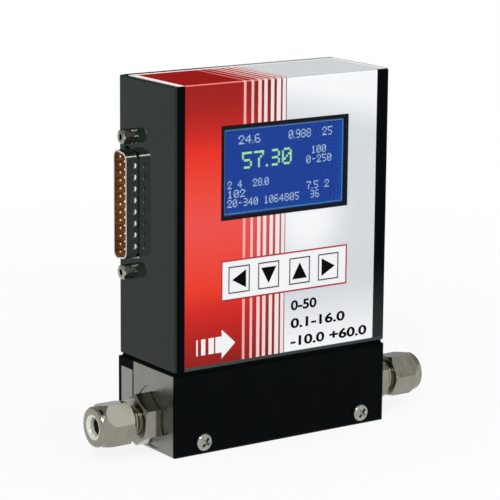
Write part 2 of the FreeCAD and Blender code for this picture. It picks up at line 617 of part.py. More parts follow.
def make_upper_housing():
    """Black cover, bent from sheet and closed on five sides, with its cut-outs and two tabs."""
    body = body_of("UpperHousing")
    outer = sketch_on(body, "XY", "HousingOutline", housing_bottom)
    add_rectangle(outer, f"-{half_width}", half_width, front_face, rear_face)
    shell = raise_pad(body, outer, f"{housing_top} - {housing_bottom}", 1)

    def lower_rim(edge):
        return all(point.z < cell("block_height") + cell("gasket_thickness") + 1e-4 for point in
                   (edge.Vertexes[0].Point, edge.Vertexes[-1].Point))
    bevelled = soften(body, shell, "Chamfer", "seam_chamfer", lower_rim)

    def bent_edge(edge):
        start, end = edge.Vertexes[0].Point, edge.Vertexes[-1].Point
        on_top = min(start.z, end.z) > cell("total_height") - 1
        return on_top or abs(start.z - end.z) > 1e-3
    soften(body, bevelled, "Fillet", "housing_bend", bent_edge)
    inner = sketch_on(body, "XY", "HousingInside", housing_bottom)
    add_rectangle(inner, f"-{half_width} + housing_wall", f"{half_width} - housing_wall",
                  f"{front_face} + housing_wall", f"{rear_face} - housing_wall")
    sink_pocket(body, inner, f"{housing_top} - {housing_bottom} - housing_wall", 1)
    display = sketch_on(body, "XZ", "DisplayOpening", front_face)
    add_rectangle(display, f"{display_x} - display_width / 2", f"{display_x} + display_width / 2",
                  f"{display_z} - display_tall / 2", f"{display_z} + display_tall / 2")
    sink_pocket(body, display, "housing_wall", 1)
    keys = sketch_on(body, "XZ", "KeyOpening", front_face)
    add_rectangle(keys, f"{key_x} - key_width / 2 + key_margin", f"{key_x} + key_width / 2 - key_margin",
                  f"{key_z} - key_tall / 2 + key_margin", f"{key_z} + key_tall / 2 - key_margin")
    sink_pocket(body, keys, "housing_wall", 1)
    plug = sketch_on(body, "YZ", "PlugOpening", left_face)
    add_outline(plug, plug_outline("plug_clearance"))
    sink_pocket(body, plug, "housing_wall", 1)
    locks = sketch_on(body, "YZ", "LockHoles", left_face)
    for sign in ("-", "+"):
        add_circle(locks, plug_y, f"plug_height {sign} screw_spacing / 2",
                   "screw_radius + screw_clearance")
    sink_pocket(body, locks, "housing_wall", 1)
    tabs = sketch_on(body, "XY", "HousingTabs", housing_bottom)
    for sign in ("-", ""):
        edge = f"{sign}({half_width} - housing_wall)"
        reach = f"{sign}({half_width} - housing_wall - tab_reach)"
        add_rectangle(tabs, edge, reach, f"{cover_screw_y} - tab_length / 2",
                      f"{cover_screw_y} + tab_length / 2")
        add_circle(tabs, f"{sign}{cover_screw_x}", cover_screw_y, "cover_screw_radius + screw_clearance")
    raise_pad(body, tabs, "housing_wall", 1)
    name_part(body, "upper_housing")


def make_cover_screws():
    """Long socket-head screws that come up through the flow body into clinch nuts in the tabs."""
    screws = []
    nuts = []
    for index, sign in enumerate(("-", "")):
        x = f"{sign}{cover_screw_x}"
        head_low = "(cover_head_depth - cover_head_height)"
        head = rod(f"CoverHead{index}", "cover_head_radius", "cover_head_height",
                   x, cover_screw_y, head_low)
        socket = hexagon(f"CoverSocket{index}", "cover_head_radius", "cover_socket_depth",
                         x, cover_screw_y, head_low)
        shank = rod(f"CoverShank{index}", "cover_screw_radius",
                    f"{housing_bottom} + housing_wall + clinch_nut_height - cover_head_depth",
                    x, cover_screw_y, "cover_head_depth")
        screws.append(cut(f"CoverScrew{index}", join(f"CoverScrewBlank{index}", head, shank), socket))
        nut = rod(f"ClinchNutBlank{index}", "clinch_nut_radius", "clinch_nut_height",
                  x, cover_screw_y, f"{housing_bottom} + housing_wall")
        hole = rod(f"ClinchNutHole{index}", "cover_screw_radius", "clinch_nut_height + 2",
                   x, cover_screw_y, f"{housing_bottom} + housing_wall - 1")
        nuts.append(cut(f"ClinchNut{index}", nut, hole))
    name_part(group("CoverScrews", *screws), "cover_screws")
    name_part(group("CoverNuts", *nuts), "cover_nuts")


def make_front_overlay():
    """Printed film, stuck to the front and folded back over the top, cut out round the display."""
    body = body_of("FrontOverlay")
    half = "(housing_width / 2 - overlay_side)"
    profile = sketch_on(body, "YZ", "OverlaySection", f"-{half}")
    back = f"({rear_face} - overlay_back)"
    add_outline(profile, [
        (front_face, "overlay_low"), (front_face, housing_top), (back, housing_top),
        (back, "total_height"), (overlay_front, "total_height"), (overlay_front, "overlay_low")])
    film = raise_pad(body, profile, f"2 * {half}", 1)

    def inner_fold(edge):
        return runs_along(edge, 0) and abs(edge.Vertexes[0].Y + cell("housing_depth") / 2) < 1e-4 \
            and edge.Vertexes[0].Z > cell("total_height") / 2

    def outer_fold(edge):
        outer = cell("housing_depth") / 2 + cell("overlay_thickness")
        return runs_along(edge, 0) and abs(edge.Vertexes[0].Y + outer) < 1e-4 \
            and edge.Vertexes[0].Z > cell("total_height") / 2
    folded = soften(body, film, "Fillet", "housing_bend", inner_fold)
    soften(body, folded, "Fillet", "housing_bend + overlay_thickness", outer_fold)
    window = sketch_on(body, "XZ", "OverlayWindow", overlay_front)
    add_rectangle(window, f"{display_x} - display_width / 2", f"{display_x} + display_width / 2",
                  f"{display_z} - display_tall / 2", f"{display_z} + display_tall / 2")
    sink_pocket(body, window, "overlay_thickness", 1)
    name_part(body, "front_overlay")


def make_film_keys():
    """Four snap domes in a spacer that fills the key opening, on a board behind the wall."""
    half_wide = "(key_width / 2 - key_margin - display_gap)"
    half_tall = "(key_tall / 2 - key_margin - display_gap)"
    spacer = slab("KeySpacerSheet", (f"{key_x} - {half_wide}", f"{key_x} + {half_wide}"),
                  (front_face, front_inside), (f"{key_z} - {half_tall}", f"{key_z} + {half_tall}"))
    holes = []
    domes = []
    for index in range(KEY_COUNT):
        x = f"({key_x} + {index - (KEY_COUNT - 1) / 2} * key_pitch)"
        holes.append(rod(f"KeyHole{index}", "dome_radius + dome_clearance", "housing_wall + 2",
                         x, f"{front_face} - 1", key_z, Y_WAYS))
        dome = body_of(f"KeyDome{index}")
        profile = sketch_on(dome, "XY", f"KeyDomeProfile{index}", "0")
        add_outline(profile, [
            ("0", "-dome_rise"), ("dome_knee_radius", "-dome_knee_rise"),
            ("dome_radius", "-dome_sheet"), ("dome_radius", "0"),
            ("dome_knee_radius", "-dome_knee_rise + dome_sheet"), ("0", "-dome_rise + dome_sheet")])
        turn_about(dome, profile, "V_Axis")
        domes.append(place(dome, x, front_inside, key_z))
    name_part(cut("KeypadSpacer", spacer, *holes), "keypad_spacer")
    name_part(group("KeyDomes", *domes), "key_domes")
    backing = slab("KeypadBacking",
                   (f"{key_x} - key_width / 2 - backing_margin", f"{key_x} + key_width / 2 + backing_margin"),
                   (front_inside, f"{front_inside} + backing_thickness"),
                   (f"{key_z} - key_tall / 2 - backing_margin", f"{key_z} + key_tall / 2 + backing_margin"))
    name_part(backing, "keypad_backing")


def frame_round_display(name, outer_grow, inner_grow, low_y, high_y):
    """A rectangular frame about the display's middle."""
    pieces = []
    for label, grow, spare in (("Outer", outer_grow, "0"), ("Inner", inner_grow, "1")):
        wide = f"(display_width / 2 + {grow})"
        tall = f"(display_tall / 2 + {grow})"
        pieces.append(slab(name + label, (f"{display_x} - {wide}", f"{display_x} + {wide}"),
                           (f"{low_y} - {spare}", f"{high_y} + {spare}"),
                           (f"{display_z} - {tall}", f"{display_z} + {tall}")))
    return cut(name, *pieces)


def display_pane(name, low_y, high_y):
    """A pane that fills the bezel's opening."""
    wide = "(display_width / 2 - display_border - display_gap)"
    tall = "(display_tall / 2 - display_border - display_gap)"
    return slab(name, (f"{display_x} - {wide}", f"{display_x} + {wide}"), (low_y, high_y),
                (f"{display_z} - {tall}", f"{display_z} + {tall}"))


def make_display():
    """Graphic display in a black frame that comes through the wall from behind, under a lens."""
    nose = frame_round_display("BezelNose", "-display_gap", "-display_border",
                               f"({overlay_front} + bezel_sink)", front_inside)
    lip = frame_round_display("BezelLip", "bezel_lip", "-display_border", front_inside, bezel_rear)
    name_part(join("DisplayBezel", nose, lip), "display_bezel")
    window_front = f"({overlay_front} + bezel_sink + window_sink)"
    window_back = f"({window_front} + window_thickness)"
    name_part(display_pane("DisplayWindow", window_front, window_back), "display_window")
    name_part(display_pane("DisplayPanel", window_back, bezel_rear), "display_panel")


def make_boards():
    """Display board in front, main board behind on the connector's middle, joined by spacers."""
    ends = (f"-{board_half}", board_half)
    display = slab("DisplayBoardSheet", ends, (bezel_rear, display_board_back),
                   (f"{board_top} - display_board_tall", board_top))
    main = slab("MainBoardSheet", ends, (board_front, board_back), (board_bottom, board_top))
    display_holes = []
    main_holes = []
    spacers = []
    screws = []
    gap = f"({board_front} - {display_board_back})"
    for index, (sign, level) in enumerate((("-", spacer_low), ("", spacer_low),
                                           ("-", spacer_high), ("", spacer_high))):
        x = f"{sign}{spacer_x}"
        display_holes.append(rod(f"DisplayBoardHole{index}", "spacer_bore + screw_clearance",
                                 "board_thickness + 2", x, f"{bezel_rear} - 1", level, Y_WAYS))
        main_holes.append(rod(f"MainBoardHole{index}", "spacer_bore + screw_clearance",
                              "board_thickness + 2", x, f"{board_front} - 1", level, Y_WAYS))
        bar = hexagon(f"SpacerBar{index}", "spacer_hex", gap, x, display_board_back, level, Y_WAYS)
        bore = rod(f"SpacerBore{index}", "spacer_bore", f"{gap} + 2", x,
                   f"{display_board_back} - 1", level, Y_WAYS)
        spacers.append(cut(f"Spacer{index}", bar, bore))
        for end, face, inward in (("Front", bezel_rear, 1), ("Back", board_back, -1)):
            outward = "small_head_height" if inward > 0 else "0"
            head = hexagon(f"SpacerHead{end}{index}", "spacer_hex", "small_head_height",
                           x, f"{face} - {outward}", level, Y_WAYS)
            start = face if inward > 0 else f"({face} - board_thickness - spacer_screw_grip)"
            shank = rod(f"SpacerShank{end}{index}", "spacer_bore",
                        "board_thickness + spacer_screw_grip", x, start, level, Y_WAYS)
            screws.append(join(f"SpacerScrew{end}{index}", head, shank))
    board_holes = [rod(f"BoardScrewHole{index}", "board_screw_radius + screw_clearance",
                       "board_thickness + 2", f"{sign}{board_screw_x}",
                       f"{board_front} - 1", board_screw_z, Y_WAYS)
                   for index, sign in enumerate(("-", ""))]
    name_part(cut("DisplayBoard", display, *display_holes), "display_board")
    name_part(cut("MainBoard", main, *main_holes, *board_holes), "main_board")
    name_part(group("BoardSpacers", *spacers), "board_spacers")
    name_part(group("SpacerScrews", *screws), "spacer_screws")


def make_board_devices():
    """Packages behind the main board, capacitors in front of it, and the stacking connector."""
    chips = [slab(f"Chip{index}", (f"({index} - 1) * chip_pitch - chip_side / 2",
                                   f"({index} - 1) * chip_pitch + chip_side / 2"),
                  (board_back, f"{board_back} + chip_height"),
                  ("plug_height - chip_side / 2", "plug_height + chip_side / 2"))
             for index in range(3)]
    name_part(group("BoardChips", *chips), "board_chips")
    level = f"({board_screw_z} + capacitor_rise)"
    cans = [rod(f"Capacitor{index}", "capacitor_radius", "capacitor_height",
                f"({index} - 1) * capacitor_pitch", f"{board_front} - capacitor_height", level, Y_WAYS)
            for index in range(3)]
    name_part(group("BoardCapacitors", *cans), "board_capacitors")
    stack = slab("StackingConnector", ("-stack_length / 2", "stack_length / 2"),
                 (display_board_back, board_front),
                 (f"{spacer_high} - stack_width / 2", f"{spacer_high} + stack_width / 2"))
    name_part(stack, "stacking_connector")


def make_chassis():
    """Bent angle on the flow body that carries the main board, with its screws."""
    half = f"({half_width} - housing_wall - chassis_side_gap)"
    foot = slab("ChassisFoot", (f"-{half}", half), (chassis_foot_front, board_front),
                ("block_height", "block_height + chassis_thickness"))
    leg = slab("ChassisLeg", (f"-{half}", half), (chassis_front, board_front),
               ("block_height", "block_height + chassis_rise"))
    holes = []
    foot_screws = []
    board_screws = []
    for index, sign in enumerate(("-", "")):
        x = f"{sign}chassis_screw_spacing / 2"
        y = chassis_screw_y
        holes.append(rod(f"ChassisFootHole{index}", "chassis_screw_radius + screw_clearance",
                         "chassis_thickness + 2", x, y, "block_height - 1"))
        top = "(block_height + chassis_thickness)"
        head = rod(f"ChassisHead{index}", "foot_head_radius", "small_head_height", x, y, top)
        shank = rod(f"ChassisShank{index}", "chassis_screw_radius", "chassis_screw_length",
                    x, y, f"{top} - chassis_screw_length")
        foot_screws.append(join(f"ChassisScrew{index}", head, shank))
        x = f"{sign}{board_screw_x}"
        length = "(board_thickness + chassis_thickness)"
        holes.append(rod(f"ChassisLegHole{index}", "board_screw_radius", "chassis_thickness + 2",
                         x, f"{chassis_front} - 1", board_screw_z, Y_WAYS))
        head = rod(f"BoardScrewHead{index}", "board_head_radius", "small_head_height",
                   x, board_back, board_screw_z, Y_WAYS)
        shank = rod(f"BoardScrewShank{index}", "board_screw_radius", length,
                    x, f"{board_back} - {length}", board_screw_z, Y_WAYS)
        board_screws.append(join(f"BoardScrew{index}", head, shank))
    name_part(cut("Chassis", join("ChassisAngle", foot, leg), *holes), "chassis")
    name_part(group("ChassisScrews", *foot_screws), "chassis_screws")
    name_part(group("BoardScrews", *board_screws), "board_screws")


def make_sensors():
    """Pressure and temperature sensors sealed into the top of the flow body, under one board."""
    half = "(sensor_width / 2)"
    case = slab("DifferentialCase", (f"-{half}", half),
                (f"{port_line} - sensor_depth / 2", f"{port_line} + sensor_depth / 2"),
                ("block_height", sensor_top))
    spigots = [rod(f"Spigot{index}", "spigot_radius", "spigot_length", f"{sign}tap_spacing / 2",
                   port_line, "block_height - spigot_length") for index, sign in enumerate(("-", ""))]
    name_part(join("DifferentialSensor", case, *spigots), "differential_sensor")
    can = rod("AbsoluteCan", "can_radius", "sensor_height", "-probe_spacing / 2", port_line,
              "block_height")
    spigot = rod("AbsoluteSpigot", "spigot_radius", "spigot_length", "-probe_spacing / 2",
                 port_line, "block_height - spigot_length")
    name_part(join("AbsoluteSensor", can, spigot), "absolute_sensor")
    plug = rod("ProbePlug", "probe_radius", "sensor_height", "probe_spacing / 2", port_line,
               "block_height")
    stem = rod("ProbeStem", "probe_tip_radius", "probe_reach", "probe_spacing / 2", port_line,
               "block_height - probe_reach")
    name_part(join("TemperatureSensor", plug, stem), "temperature_sensor")
    seals = []
    for index, x in enumerate(("-probe_spacing / 2", "-tap_spacing / 2", "tap_spacing / 2",
                               "probe_spacing / 2")):
        low = "(block_height - seal_pocket_depth)"
        outer = rod(f"SealOuter{index}", "spigot_radius + seal_section", "seal_section",
                    x, port_line, low)
        inner = rod(f"SealInner{index}", "spigot_radius", "seal_section + 2",
                    x, port_line, f"{low} - 1")
        seals.append(cut(f"SensorSeal{index}", outer, inner))
    name_part(group("SensorSeals", *seals), "sensor_seals")
    end = "(probe_spacing / 2 + sensor_board_overhang)"
    edge = "(sensor_depth / 2 + sensor_board_margin)"
    board = slab("SensorBoard", (f"-{end}", end), (f"{port_line} - {edge}", f"{port_line} + {edge}"),
                 (sensor_top, f"{sensor_top} + board_thickness"))
    name_part(board, "sensor_board")


def make_plug_shell():
    """Drawn steel shell of the 25-way plug: a flange behind the wall and a dimpled D in front."""
    body = body_of("ConnectorShell")
    flange = sketch_on(body, "YZ", "FlangeOutline", left_inside)
    add_rectangle(flange, f"{plug_y} - flange_short / 2", f"{plug_y} + flange_short / 2",
                  "plug_height - flange_long / 2", "plug_height + flange_long / 2")
    for sign in ("-", "+"):
        add_circle(flange, plug_y, f"plug_height {sign} screw_spacing / 2",
                   "screw_radius + screw_clearance")
    raise_pad(body, flange, "flange_sheet", 1)
    drawn = sketch_on(body, "YZ", "ShellOutline", left_inside)
    add_outline(drawn, plug_outline("0"))
    raise_pad(body, drawn, "plug_rise", -1)
    hollow = sketch_on(body, "YZ", "ShellHollow", plug_rim)
    add_outline(hollow, plug_outline("(-plug_sheet)"))
    pocket = sink_pocket(body, hollow, "plug_rise + flange_sheet", 1)

    def inner_corner(edge):
        return runs_along(edge, 0) and edge.Length > cell("plug_rise") + 1e-3

    def outer_corner(edge):
        return runs_along(edge, 0) and abs(edge.Length - cell("plug_rise")) < 1e-3
    inside = soften(body, pocket, "Fillet", "plug_corner - plug_sheet", inner_corner)
    soften(body, inside, "Fillet", "plug_corner", outer_corner)
    doc.recompute()
    reach = "(dimple_radius - dimple_depth)"
    for side, y in (("Rear", f"{plug_y} + plug_short / 2 + {reach}"),
                    ("Front", f"{plug_y} - plug_short / 2 - {reach}")):
        dimple = body.newObject("PartDesign::SubtractiveSphere", f"{side}Dimple")
        dimple.setExpression("Radius", formula("dimple_radius"))
        dimple.setExpression("AttachmentOffset.Base.x", formula(f"{plug_rim} + dimple_level"))
        dimple.setExpression("AttachmentOffset.Base.y", formula(y))
        half_row = f"{(DIMPLE_COUNT - 1) / 2} * dimple_pitch"
        dimple.setExpression("AttachmentOffset.Base.z", formula(f"plug_height - {half_row}"))
        plane = [item for item in body.Origin.OriginFeatures if item.Role == "XY_Plane"][0]
        dimple.AttachmentSupport = [(plane, "")]
        dimple.MapMode = "FlatFace"
        doc.recompute()
        row = body.newObject("PartDesign::LinearPattern", f"{side}Dimples")
        row.Originals = [dimple]
        upright = [item for item in body.Origin.OriginFeatures if item.Role == "Z_Axis"][0]
        row.Direction = (upright, [""])
        row.setExpression("Length", formula(f"{DIMPLE_COUNT - 1} * dimple_pitch"))
        row.Occurrences = DIMPLE_COUNT
        body.Tip = row
        doc.recompute()
    name_part(body, "connector_shell")


def make_plug_inside(pin_shafts):
    """Brown moulding that holds the pins, and the steel shell behind it."""
    body = body_of("InsulatorMoulding")
    core = sketch_on(body, "YZ", "InsulatorCore", flange_back)
    add_outline(core, plug_outline("(-(plug_sheet + insulator_gap))"))
    front = raise_pad(body, core, "flange_sheet + insulator_rise", -1)
    soften(body, front, "Fillet", "plug_corner - plug_sheet - insulator_gap",
           lambda edge: runs_along(edge, 0))
    back = sketch_on(body, "YZ", "InsulatorBack", flange_back)
    add_rectangle(back, f"{plug_y} - insulator_back_short / 2", f"{plug_y} + insulator_back_short / 2",
                  "plug_height - insulator_back_long / 2", "plug_height + insulator_back_long / 2")
    raise_pad(body, back, "insulator_back", 1)
    name_part(cut("ConnectorInsulator", body, group("PinShafts", *pin_shafts)), "connector_insulator")
    gap = "insulator_gap"
    wide = f"(insulator_back_long / 2 + {gap})"
    narrow = f"(insulator_back_short / 2 + {gap})"
    plate = slab("RearShellPlate", (flange_back, f"{flange_back} + rear_sheet"),
                 (f"{plug_y} - flange_short / 2", f"{plug_y} + flange_short / 2"),
                 ("plug_height - flange_long / 2", "plug_height + flange_long / 2"))
    collar = slab("RearShellCollar", (flange_back, f"{flange_back} + insulator_back - 1"),
                  (f"{plug_y} - {narrow} - rear_sheet", f"{plug_y} + {narrow} + rear_sheet"),
                  (f"plug_height - {wide} - rear_sheet", f"plug_height + {wide} + rear_sheet"))
    inside = slab("RearShellInside", (f"{flange_back} - 1", f"{flange_back} + insulator_back"),
                  (f"{plug_y} - {narrow}", f"{plug_y} + {narrow}"),
                  (f"plug_height - {wide}", f"plug_height + {wide}"))
    holes = [rod(f"RearShellHole{index}", "screw_radius + screw_clearance", "rear_sheet + 2",
                 f"{flange_back} - 1", plug_y, f"plug_height {sign} screw_spacing / 2", X_WAYS)
             for index, sign in enumerate(("-", "+"))]
    name_part(cut("ConnectorRearShell", join("RearShellBlank", plate, collar), inside, *holes),
              "connector_rear_shell")


def pin_places():
    """Thirteen pins in the rear row and twelve in the front row, half a pitch apart."""
    places = []
    for count, side in ((REAR_PIN_COUNT, "+"), (FRONT_PIN_COUNT, "-")):
        for index in range(count):
            z = f"(plug_height + {index - (count - 1) / 2} * pin_pitch)"
            places.append((f"({plug_y} {side} row_pitch / 2)", z))
    return places


def make_pins():
    """Pins with slimmer tips. Their tails straddle the main board's edge."""
    pins = []
    shafts = []
    tip = f"({plug_rim} + pin_recess)"
    for index, (y, z) in enumerate(pin_places()):
        length = f"({flange_back} + pin_tail - {tip} - pin_point)"
        shaft = prism(f"PinShaft{index}", 8, "pin_radius", length, f"{tip} + pin_point", y, z, X_WAYS)
        point = prism(f"PinPoint{index}", 8, "pin_point_radius", "pin_point", tip, y, z, X_WAYS)
        shafts.append(shaft)
        pins.append(join(f"Pin{index}", shaft, point))
    name_part(group("ConnectorPins", *pins), "connector_pins")
    return shafts


def make_jackscrews():
    """Hexagon screw locks on both sides of the plug, with nuts inside the housing."""
    locks = []
    nuts = []
    seat = f"({flange_back} + rear_sheet)"
    for index, sign in enumerate(("-", "+")):
        z = f"(plug_height {sign} screw_spacing / 2)"
        tip = f"({left_face} - lock_length)"
        bar = hexagon(f"LockBar{index}", "lock_hex", "lock_length", tip, plug_y, z, X_WAYS)
        dome = taper(f"LockDome{index}", "lock_tip_radius", "lock_tip_radius + lock_length",
                     "lock_length", tip, plug_y, z, X_WAYS)
        rounded = doc.addObject("Part::Common", f"LockHead{index}")
        rounded.Base = bar
        rounded.Tool = dome
        stud = rod(f"LockStud{index}", "screw_radius", "lock_stud", left_face, plug_y, z, X_WAYS)
        bore = rod(f"LockBore{index}", "lock_bore", "lock_bore_depth", tip, plug_y, z, X_WAYS)
        locks.append(cut(f"Lock{index}", join(f"LockBlank{index}", rounded, stud), bore))
        nut = hexagon(f"LockNutBar{index}", "lock_nut_hex", "lock_nut_height", seat, plug_y,
                      z, X_WAYS)
        hole = rod(f"LockNutHole{index}", "screw_radius", "lock_nut_height + 2", f"{seat} - 1",
                   plug_y, z, X_WAYS)
        nuts.append(cut(f"LockNut{index}", nut, hole))
    name_part(group("Jackscrews", *locks), "jackscrews")
    name_part(group("JackscrewNuts", *nuts), "jackscrew_nuts")


make_flow_body()
make_laminar_element()
make_fittings()
make_front_plate()
make_rear_plate()
make_rear_bar()
make_plate_screws()
make_gasket()
make_upper_housing()
make_cover_screws()
make_front_overlay()
make_film_keys()
make_display()
make_boards()
make_board_devices()
make_chassis()
make_sensors()
make_plug_shell()
make_plug_inside(make_pins())
make_jackscrews()
doc.recompute()

for item in doc.Objects:
    if "Invalid" in item.State or "Error" in item.State:
        raise RuntimeError(f"{item.Name} did not build: {item.State}")
for item in sub_parts:
    if item.Shape.isNull() or not item.Shape.isValid():
        raise RuntimeError(f"{item.Label} has no valid shape")

os.makedirs("parts", exist_ok=True)
for item in sub_parts:
    item.Shape.exportStep(f"parts/{item.Label}.step")
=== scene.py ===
import math

import bmesh
import bpy
from mathutils import Matrix, Vector

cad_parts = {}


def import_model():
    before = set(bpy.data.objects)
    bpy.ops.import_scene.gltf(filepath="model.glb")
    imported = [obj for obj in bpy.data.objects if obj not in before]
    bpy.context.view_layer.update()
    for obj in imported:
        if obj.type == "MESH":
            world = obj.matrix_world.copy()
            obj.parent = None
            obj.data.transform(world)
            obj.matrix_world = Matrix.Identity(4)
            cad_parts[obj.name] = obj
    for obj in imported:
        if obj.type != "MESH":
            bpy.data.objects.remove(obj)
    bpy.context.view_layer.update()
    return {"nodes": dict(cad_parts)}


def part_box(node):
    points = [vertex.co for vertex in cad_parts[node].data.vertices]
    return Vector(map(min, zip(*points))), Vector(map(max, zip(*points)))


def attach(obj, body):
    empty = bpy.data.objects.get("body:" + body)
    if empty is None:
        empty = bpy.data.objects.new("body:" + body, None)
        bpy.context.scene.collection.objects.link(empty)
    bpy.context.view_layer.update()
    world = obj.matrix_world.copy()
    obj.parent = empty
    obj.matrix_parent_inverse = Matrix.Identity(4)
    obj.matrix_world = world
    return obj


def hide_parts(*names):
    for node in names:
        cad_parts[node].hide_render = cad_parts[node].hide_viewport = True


# Looks of a gas flow meter: a steel flow body with tube fittings, and a black sheet-metal housing
# with a printed film, a lit display and a 25-way plug. X to the right, Y to the rear, Z up. The
# frame is in metres; the sizes of pieces are given in millimetres and turned into metres by MM.

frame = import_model()
nodes = frame["nodes"]
MM = 0.001


# ---------------------------------------------------------------- Camera
# A long lens from the front left and a little above, so that the uprights stay upright and the
# plug's side shows beside the printed front.
view_azimuth = math.radians(-34.65)
view_elevation = math.radians(12.19)
view_roll = math.radians(0.502)
view_distance = 0.8305
view_target = Vector((-0.00182, 0.0, 0.0647))

back = Vector((math.sin(view_azimuth) * math.cos(view_elevation),
               -math.cos(view_azimuth) * math.cos(view_elevation), math.sin(view_elevation)))
level = Vector((0, 0, 1)).cross(back).normalized()
upright = back.cross(level)
right = level * math.cos(view_roll) + upright * math.sin(view_roll)
above = upright * math.cos(view_roll) - level * math.sin(view_roll)
camera = bpy.data.objects.new("Camera", bpy.data.cameras.new("Camera"))
camera.data.lens = 170.4
camera.data.sensor_width = 36
turn = Matrix((right, above, back)).transposed().to_4x4()
camera.matrix_world = Matrix.Translation(view_target + back * view_distance) @ turn
bpy.context.scene.collection.objects.link(camera)
bpy.context.scene.camera = camera
bpy.context.scene.view_settings.view_transform = "Standard"


# ---------------------------------------------------------------- Studio
# A white sweep of floor under three soft lamps, which keeps a soft shadow under the meter. The
# room is plain white to cameras and glass. Mirrors see its front wall bright, its ceiling and rear
# grey, and a bright disc where the right lamp stands.
def srgb(red, green, blue):
    """A colour as it is read off a screen, for a shader."""
    return tuple(((c / 255 + 0.055) / 1.055) ** 2.4 if c > 10 else c / 255 / 12.92
                 for c in (red, green, blue)) + (1.0,)


def add_node(tree, kind, inputs=(), **settings):
    """A node with its settings, its plain values and its wires."""
    made = tree.nodes.new(kind)
    for name, value in settings.items():
        setattr(made, name, value)
    for name, value in dict(inputs).items():
        if isinstance(value, bpy.types.NodeSocket):
            tree.links.new(value, made.inputs[name])
        else:
            made.inputs[name].default_value = value
    return made


def maths(operation, *values, clamp=False):
    """A sum of wires and numbers, in the tree of the wires."""
    tree = [value for value in values if isinstance(value, bpy.types.NodeSocket)][0].id_data
    return add_node(tree, "ShaderNodeMath", enumerate(values), operation=operation,
                    use_clamp=clamp).outputs[0]


def vector_maths(operation, wire, other=(0, 0, 0), output="Vector"):
    """A sum of vectors. The output is Vector, or Value for a plain number."""
    return add_node(wire.id_data, "ShaderNodeVectorMath", {0: wire, 1: other},
                    operation=operation).outputs[output]


def map_range(wire, start, end, low=0.0, high=1.0, smooth="LINEAR"):
    """A value carried from one span to another, and held at its ends."""
    return add_node(wire.id_data, "ShaderNodeMapRange",
                    {"Value": wire, "From Min": start, "From Max": end, "To Min": low,
                     "To Max": high}, interpolation_type=smooth).outputs["Result"]


def object_place(tree):
    """The place on a piece, in metres."""
    return add_node(tree, "ShaderNodeTexCoord").outputs["Object"]


def seen_directly(tree):
    """1 for camera, mirror and glass rays, 0 for the rays that light things."""
    rays = add_node(tree, "ShaderNodeLightPath").outputs
    return maths("MAXIMUM", maths("MAXIMUM", rays["Is Camera Ray"], rays["Is Glossy Ray"]),
                 rays["Is Transmission Ray"])


world = bpy.data.worlds.new("Room")
world.use_nodes = True
room_tree = world.node_tree
room_tree.nodes.clear()
room_light = add_node(room_tree, "ShaderNodeBackground",
                      {"Color": srgb(240, 243, 246), "Strength": 0.52})
room_way = add_node(room_tree, "ShaderNodeTexCoord").outputs["Generated"]
# The front wall and the right lamp, as mirrors see them: the way to each, the cosines off that way
# where it starts and is full, and the levels around it and in it.
mirror_levels = [
    map_range(vector_maths("DOT_PRODUCT", room_way, way, "Value"), edge, full, around, inside)
    for way, edge, full, around, inside in (((0.0, -0.76, -0.65), -0.10, 0.12, 0.42, 1.0),
                                            ((0.445, -0.408, 0.797), 0.9763, 0.989, 0.0, 1.7))]
room_level = add_node(room_tree, "ShaderNodeMix",
                      {0: add_node(room_tree, "ShaderNodeLightPath").outputs["Is Glossy Ray"],
                       2: 1.0, 3: maths("MAXIMUM", *mirror_levels)})
room_white = add_node(room_tree, "ShaderNodeBackground",
                      {"Color": (1, 1, 1, 1), "Strength": room_level.outputs[0]})
room = add_node(room_tree, "ShaderNodeMixShader",
                {"Fac": seen_directly(room_tree), 1: room_light.outputs[0],
                 2: room_white.outputs[0]})
add_node(room_tree, "ShaderNodeOutputWorld", {"Surface": room.outputs[0]})
bpy.context.scene.world = world

lamp_target = Vector((0, 0, 0.06))
for name, place, size, power in (("LeftLamp", (-0.65, -0.62, 0.85), 0.22, 5.5),
                                 ("RightLamp", (0.62, -0.47, 0.95), 1.1, 4.2),
                                 ("TopLamp", (0.05, 0.15, 1.10), 0.8, 1.5)):
    lamp = bpy.data.objects.new(name, bpy.data.lights.new(name, "AREA"))
    lamp.data.shape = "SQUARE"
    lamp.data.size = size
    lamp.data.energy = power
    aim = (lamp_target - Vector(place)).to_track_quat("-Z", "Y")
    lamp.matrix_world = Matrix.Translation(place) @ aim.to_matrix().to_4x4()
    lamp.visible_glossy = name == "LeftLamp"
    bpy.context.scene.collection.objects.link(lamp)

floor_paint = bpy.data.materials.new("floor_sweep")
floor_paint.use_nodes = True
floor_tree = floor_paint.node_tree
floor_tree.nodes.clear()
floor_matt = add_node(floor_tree, "ShaderNodeBsdfDiffuse", {"Color": (0.88, 0.88, 0.88, 1)})
floor_glow = add_node(floor_tree, "ShaderNodeEmission", {"Color": (1, 1, 1, 1), "Strength": 1.0})
floor_far = vector_maths("LENGTH", object_place(floor_tree), output="Value")
floor_share = maths("MULTIPLY", seen_directly(floor_tree),
                    map_range(floor_far, 0.12, 0.5, 0.86, 1.0, "SMOOTHSTEP"))
floor_mix = add_node(floor_tree, "ShaderNodeMixShader",
                     {"Fac": floor_share, 1: floor_matt.outputs[0], 2: floor_glow.outputs[0]})
add_node(floor_tree, "ShaderNodeOutputMaterial", {"Surface": floor_mix.outputs[0]})
floor_mesh = bpy.data.meshes.new("Floor")
floor_mesh.from_pydata([(-6, -6, 0), (6, -6, 0), (6, 6, 0), (-6, 6, 0)], [], [(0, 1, 2, 3)])
floor = bpy.data.objects.new("Floor", floor_mesh)
floor_mesh.materials.append(floor_paint)
bpy.context.scene.collection.objects.link(floor)


